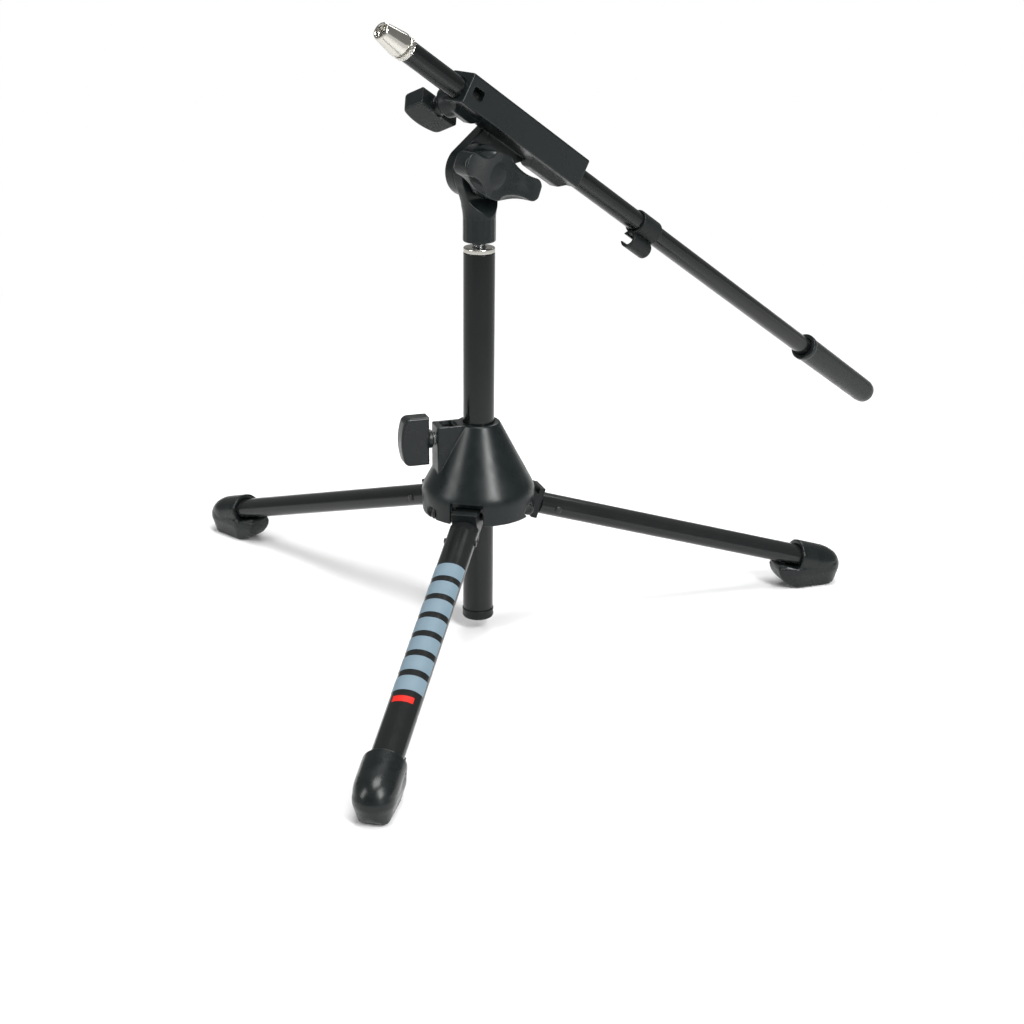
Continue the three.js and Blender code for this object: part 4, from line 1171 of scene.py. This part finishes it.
    def build(self, place: Matrix) -> None:
        """Makes the clamp, the tilt hardware and the boom's clamp screw."""
        add_piece("clamp_casting", self.casting(), place, "boom_clamp", Look.CASTING, "boom_clamp_body")
        at_pivot = place @ Matrix.Translation((self.pivot[0], 0, self.pivot[1]))
        add_piece("tilt_carriage_bolt", self.bolt(), at_pivot, "boom_clamp", Look.ZINC, "tilt_bolt")
        ring = washer(M8_R + GAP, self.thrust_r, self.thrust_from, self.handle_foot - GAP).along_y()
        add_piece("tilt_thrust_ring", ring, at_pivot, "boom_clamp", Look.ZINC, "tilt_washer")
        turned = at_pivot @ rotation(self.handle_turn, "Y")
        add_piece("tilt_t_handle", self.handle(), turned, "tilt_handle", Look.KNOB, "tilt_handle")
        nut = hex_nut(NUT_HEIGHT).along_y().shifted(y=self.handle_foot + GAP)
        add_piece("tilt_handle_nut", nut, turned, "tilt_handle", Look.ZINC, "tilt_nut")
        screw = place @ Matrix.Translation((self.screw_s, 0, 0))
        for degrees, axis in ((self.screw_lean, "X"), (-90, "Z"), (90, "X")):
            screw = screw @ rotation(degrees, axis)
        ClampScrew(self.boom_r + 2 * GAP, self.boss_to, "boom_clamp_shoe", "boom_clamp_stud",
                   "boom_clamp_knob", "boom_clamp", "boom_knob").build(screw)


# ---------------------------------------------------------------- boom
@dataclass
class Boom:
    """The sliding boom tube and what it carries. Local frame: the boom's."""

    r: float = 7.5
    wall: float = 1.2
    front: float = 73.7
    ring_from: float = 74.0
    ring_to: float = 78.0
    ring_r: float = 8.5
    cone_from: float = 79.6
    cone_to: float = 98.5
    cone_base: float = 8.6
    cone_tip: float = 6.1
    socket_r: float = 4.2
    socket: float = 11.0
    spigot_from: float = 52.0
    groove_depth: float = 2.5
    grip_from: float = -433.0
    grip_to: float = -544.8
    grip_r: float = 10.6
    grip_mouth: float = 11.3
    grip_inside: float = -536.0
    clip_from: float = -205.0
    clip_to: float = -183.0
    clip_r: float = 9.4
    loop_r: float = 6.6
    loop_bore: float = 4.5
    loop_drop: float = 14.2
    slit: float = 5.8
    knurl_ridges: int = 22
    knurl_depth: float = 0.38

    def knurled_ring(self) -> Shape:
        """Returns the lock ring with its crossed knurl."""
        z0, z1, outer = self.ring_from, self.ring_to, self.ring_r

        def ripple(angle: float, r: float, z: float) -> float:
            """Returns the knurl's radius at one point."""
            if r < outer - 0.05:
                return r
            turns = self.knurl_ridges * angle / math.tau
            lean = (z - z0) / 2.0
            ridge = max(abs(2 * ((turns + lean) % 1) - 1), abs(2 * ((turns - lean) % 1) - 1))
            fade = min(1.0, (z - z0) / 0.5, (z1 - z) / 0.5)
            return r - self.knurl_depth * ridge * max(0.0, fade)

        rim = [(outer - 0.5, z0), *[(outer, z) for z in rows(z0 + 0.35, z1 - 0.35, 0.2)], (outer - 0.5, z1)]
        return lathe([(self.r - self.wall, z0), *rim, (self.r - self.wall, z1)], 264, ripple)

    def adapter(self) -> Shape:
        """Returns the tapered adapter with its internal thread."""
        spigot = self.r - self.wall - GAP
        core, tip, base = self.socket_r, self.cone_to, self.cone_base
        groove = base - self.groove_depth
        behind_ring = self.ring_to + GAP
        outside = [(0, self.spigot_from), (spigot, self.spigot_from), (spigot, behind_ring),
                   (groove, behind_ring), (groove, self.cone_from), (base, self.cone_from),
                   (base, self.cone_from + 2),
                   (self.cone_tip + 0.15, tip - 0.9), (self.cone_tip - 0.5, tip)]
        radii = [0, 0.8, 0.3, 0.2, 0.25, 0.5, 1.0, 0.5, 0.3]
        mouth = [(core + 0.5, tip), (core, tip - 0.5)]
        thread = [(core, z) for z in rows(tip - 0.7, tip - self.socket + 0.3, 0.25)]
        end = [(core, tip - self.socket), (0, tip - self.socket - 2)]
        profile = [*softened(outside, radii, 4), *mouth, *thread, *end]
        thread_ripple = helix(STAND_PITCH, -0.5, tip - self.socket + 0.6, tip - 0.6, core)
        return lathe(profile, 96, thread_ripple).along_x()

    def grip(self) -> Shape:
        """Returns the rubber tail grip with its thicker mouth."""
        bore, start, end = self.r + GAP, self.grip_from, self.grip_to
        profile = [(0, self.grip_inside), (bore, self.grip_inside), (bore, start), (self.grip_mouth, start),
                   (self.grip_mouth, start - 4), (self.grip_r, start - 5), (self.grip_r - 0.35, end + 6),
                   (self.grip_r - 1.6, end), (0, end)]
        return lathe(softened(profile, [0, 0.5, 0.6, 0.9, 0.7, 0.7, 3, 4.5, 0], 7), 96).along_x()

    def clip(self) -> Shape:
        """Returns the cable clip: a band round the boom and a slit loop below it."""
        a, b = self.clip_from, self.clip_to
        band = lathe(softened([(0, a), (self.clip_r, a), (self.clip_r, b), (0, b)], 0.7, 3), 96).along_x()
        loop = lathe(softened([(0, a), (self.loop_r, a), (self.loop_r, b), (0, b)], 0.7, 3), 72).along_x()
        slit = block((a - 1, b + 1), (-self.loop_r - 1, 0),
                     (-self.loop_drop - self.slit / 2, -self.loop_drop + self.slit / 2))
        boom_bore = bar(self.r + GAP, a - 1, b + 1, 96).along_x()
        cable_bore = bar(self.loop_bore, a - 1, b + 1).along_x().shifted(z=-self.loop_drop)
        return union_and_cut(
            band, (Op.ADD, loop.shifted(z=-self.loop_drop)), (Op.CUT, boom_bore),
            (Op.CUT, cable_bore), (Op.CUT, slit), grain=0.3, rounds=3)

    def build(self, place: Matrix) -> None:
        """Makes the boom's pieces."""
        bore = self.r - self.wall
        ring = [(bore, self.grip_inside + GAP), (self.r, self.grip_inside + GAP), (self.r, self.front),
                (bore, self.front)]
        tube_shape = lathe(softened(ring, 0.3, 3, closed=True), 112).along_x()
        add_piece("boom_sliding_tube", tube_shape, place, "boom", Look.TUBE, "boom_tube")
        add_piece("adapter_knurled_ring", self.knurled_ring().along_x(), place, "boom", Look.NICKEL,
                  "adapter_ring")
        add_piece("adapter_cone", self.adapter(), place, "boom", Look.NICKEL, "mic_adapter")
        add_piece("boom_tail_grip", self.grip(), place, "boom", Look.RUBBER, "tail_grip")
        add_piece("boom_cable_clip", self.clip(), place, "cable_clip", Look.NYLON, "cable_clip")


# ---------------------------------------------------------------- studio
@dataclass
class Studio:
    """The camera, the pale floor and the soft lights. Lengths are metres."""

    eye: tuple[float, float, float] = (-0.89414, -0.94563, 0.54379)
    yaw: float = 47.376
    pitch: float = -20.947
    roll: float = 0.6246
    lens: float = 61.48
    floor_half: float = 8.0
    floor_z: float = -0.0002
    glow: Pair = (0.45, 1.1)  # how far out the floor starts to glow, and where it glows fully
    ambient: float = 0.28  # how strongly the surround lights the stand
    aim: tuple[float, float, float] = (-0.05, -0.03, 0.2)

    def camera(self) -> None:
        """Adds the camera."""
        data = bpy.data.cameras.new("camera")
        data.lens, data.sensor_width = self.lens, 36.0
        data.clip_start, data.clip_end = 0.05, 60.0
        cam = linked("camera", data)
        yaw, pitch, roll = (math.radians(a) for a in (self.yaw, self.pitch, self.roll))
        ahead = Vector((math.cos(pitch) * math.cos(yaw), math.cos(pitch) * math.sin(yaw), math.sin(pitch)))
        right = ahead.cross(Vector((0, 0, 1))).normalized()
        up = right.cross(ahead)
        level_right = right * math.cos(roll) + up * math.sin(roll)
        level_up = up * math.cos(roll) - right * math.sin(roll)
        basis = Matrix((level_right, level_up, -ahead)).transposed().to_4x4()
        cam.matrix_world = Matrix.Translation(self.eye) @ basis
        bpy.context.scene.camera = cam

    def softbox(self, name: str, azimuth: float, elevation: float, distance: float, size: Pair,
                watts: float) -> None:
        """Adds a rectangular light aimed at the stand.

        Args:
            name: Name of the light.
            azimuth: Where it stands round the stand, in degrees from +X.
            elevation: How high it stands, in degrees.
            distance: How far it is.
            size: Width and height of its face.
            watts: Its power.
        """
        data = bpy.data.lights.new(name, "AREA")
        data.shape, data.size, data.size_y, data.energy = "RECTANGLE", *size, watts
        lamp = linked(name, data)
        a, e = math.radians(azimuth), math.radians(elevation)
        away = Vector((math.cos(e) * math.cos(a), math.cos(e) * math.sin(a), math.sin(e)))
        lamp.location = Vector(self.aim) + away * distance
        lamp.rotation_mode = "QUATERNION"
        lamp.rotation_quaternion = (-away).to_track_quat("-Z", "Y")

    def floor(self) -> None:
        """Adds the pale floor."""
        h, z = self.floor_half, self.floor_z
        mesh = bpy.data.meshes.new("studio_floor")
        mesh.from_pydata([(-h, -h, z), (h, -h, z), (h, h, z), (-h, h, z)], [], [(0, 1, 2, 3)])
        material = bpy.data.materials.new("studio_floor_matte")
        material.use_nodes = True
        shader = material.node_tree.nodes["Principled BSDF"]
        shader.inputs["Base Color"].default_value = (0.74, 0.74, 0.74, 1.0)
        shader.inputs["Roughness"].default_value = 0.9
        shader.inputs["Specular IOR Level"].default_value = 0.1
        self._whiten(material, shader)
        mesh.materials.append(material)
        linked("studio_floor", mesh)

    def _whiten(self, material: bpy.types.Material, shader: bpy.types.Node) -> None:
        """Lets the floor glow plain white away from the stand, so that it meets the surround unseen."""
        nodes, links = material.node_tree.nodes, material.node_tree.links
        length = nodes.new("ShaderNodeVectorMath")
        length.operation = "LENGTH"
        links.new(nodes.new("ShaderNodeTexCoord").outputs["Object"], length.inputs[0])
        far = nodes.new("ShaderNodeMapRange")
        far.inputs["From Min"].default_value, far.inputs["From Max"].default_value = self.glow
        links.new(length.outputs["Value"], far.inputs["Value"])
        glow = nodes.new("ShaderNodeEmission")
        glow.inputs["Strength"].default_value = 1.0
        mix = nodes.new("ShaderNodeMixShader")
        links.new(far.outputs["Result"], mix.inputs[0])
        links.new(shader.outputs["BSDF"], mix.inputs[1])
        links.new(glow.outputs["Emission"], mix.inputs[2])
        links.new(mix.outputs["Shader"], nodes["Material Output"].inputs["Surface"])

    def backdrop(self) -> None:
        """Sets a white surround that lights the stand only a little."""
        world = bpy.data.worlds.new("studio")
        world.use_nodes = True
        nodes, links = world.node_tree.nodes, world.node_tree.links
        nodes["Background"].inputs["Color"].default_value = (1.0, 1.0, 1.0, 1.0)
        seen = nodes.new("ShaderNodeLightPath").outputs["Is Camera Ray"]
        strength = nodes.new("ShaderNodeMapRange")
        strength.inputs["To Min"].default_value = self.ambient
        strength.inputs["To Max"].default_value = 1.0
        links.new(seen, strength.inputs["Value"])
        links.new(strength.outputs["Result"], nodes["Background"].inputs["Strength"])
        bpy.context.scene.world = world

    def build(self) -> None:
        """Makes the whole studio."""
        self.camera()
        self.floor()
        self.backdrop()
        facing = self.yaw + 180.0
        self.softbox("key_right", facing + 34, 34, 1.9, (0.5, 1.2), 46)
        self.softbox("fill_left", facing - 62, 26, 2.1, (0.6, 1.3), 22)
        self.softbox("overhead", facing + 10, 80, 1.9, (0.9, 0.9), 34)
        self.softbox("rim_back", facing + 165, 45, 2.2, (1.2, 0.8), 20)
        bpy.context.scene.view_settings.view_transform = "Standard"


def leg_azimuths() -> dict[str, float]:
    """Returns each leg's direction from its hinge axis, in degrees."""
    result = {}
    for name in ("front", "right", "left"):
        axis = Vector(joint(f"{name}_leg_fold")["axis"])
        result[name] = math.degrees(math.atan2(-axis.x, axis.y)) % 360
    return result


def main() -> None:
    """Builds the stand and the studio round the frame."""
    logging.basicConfig(level=logging.INFO, format="%(message)s")
    place, along_boom = column_frame(), boom_frame()
    azimuths = leg_azimuths()
    Hub().build(place, azimuths)
    legs = [Leg(name, azimuth) for name, azimuth in azimuths.items()]
    boot = legs[0].boot()
    for leg in legs:
        leg.build(place, boot)
    legs[0].stripes(place, first=62, count=7, width=13, pitch=18.5)
    swivel_from = Column().build(place)
    Swivel(swivel_from).build(place)
    pivot = along_boom.inverted() @ Vector(joint("boom_tilt")["pos_m"])
    BoomClamp((pivot.x, pivot.z)).build(along_boom)
    Boom().build(along_boom)
    Studio().build()


if __name__ == "__main__":
    main()
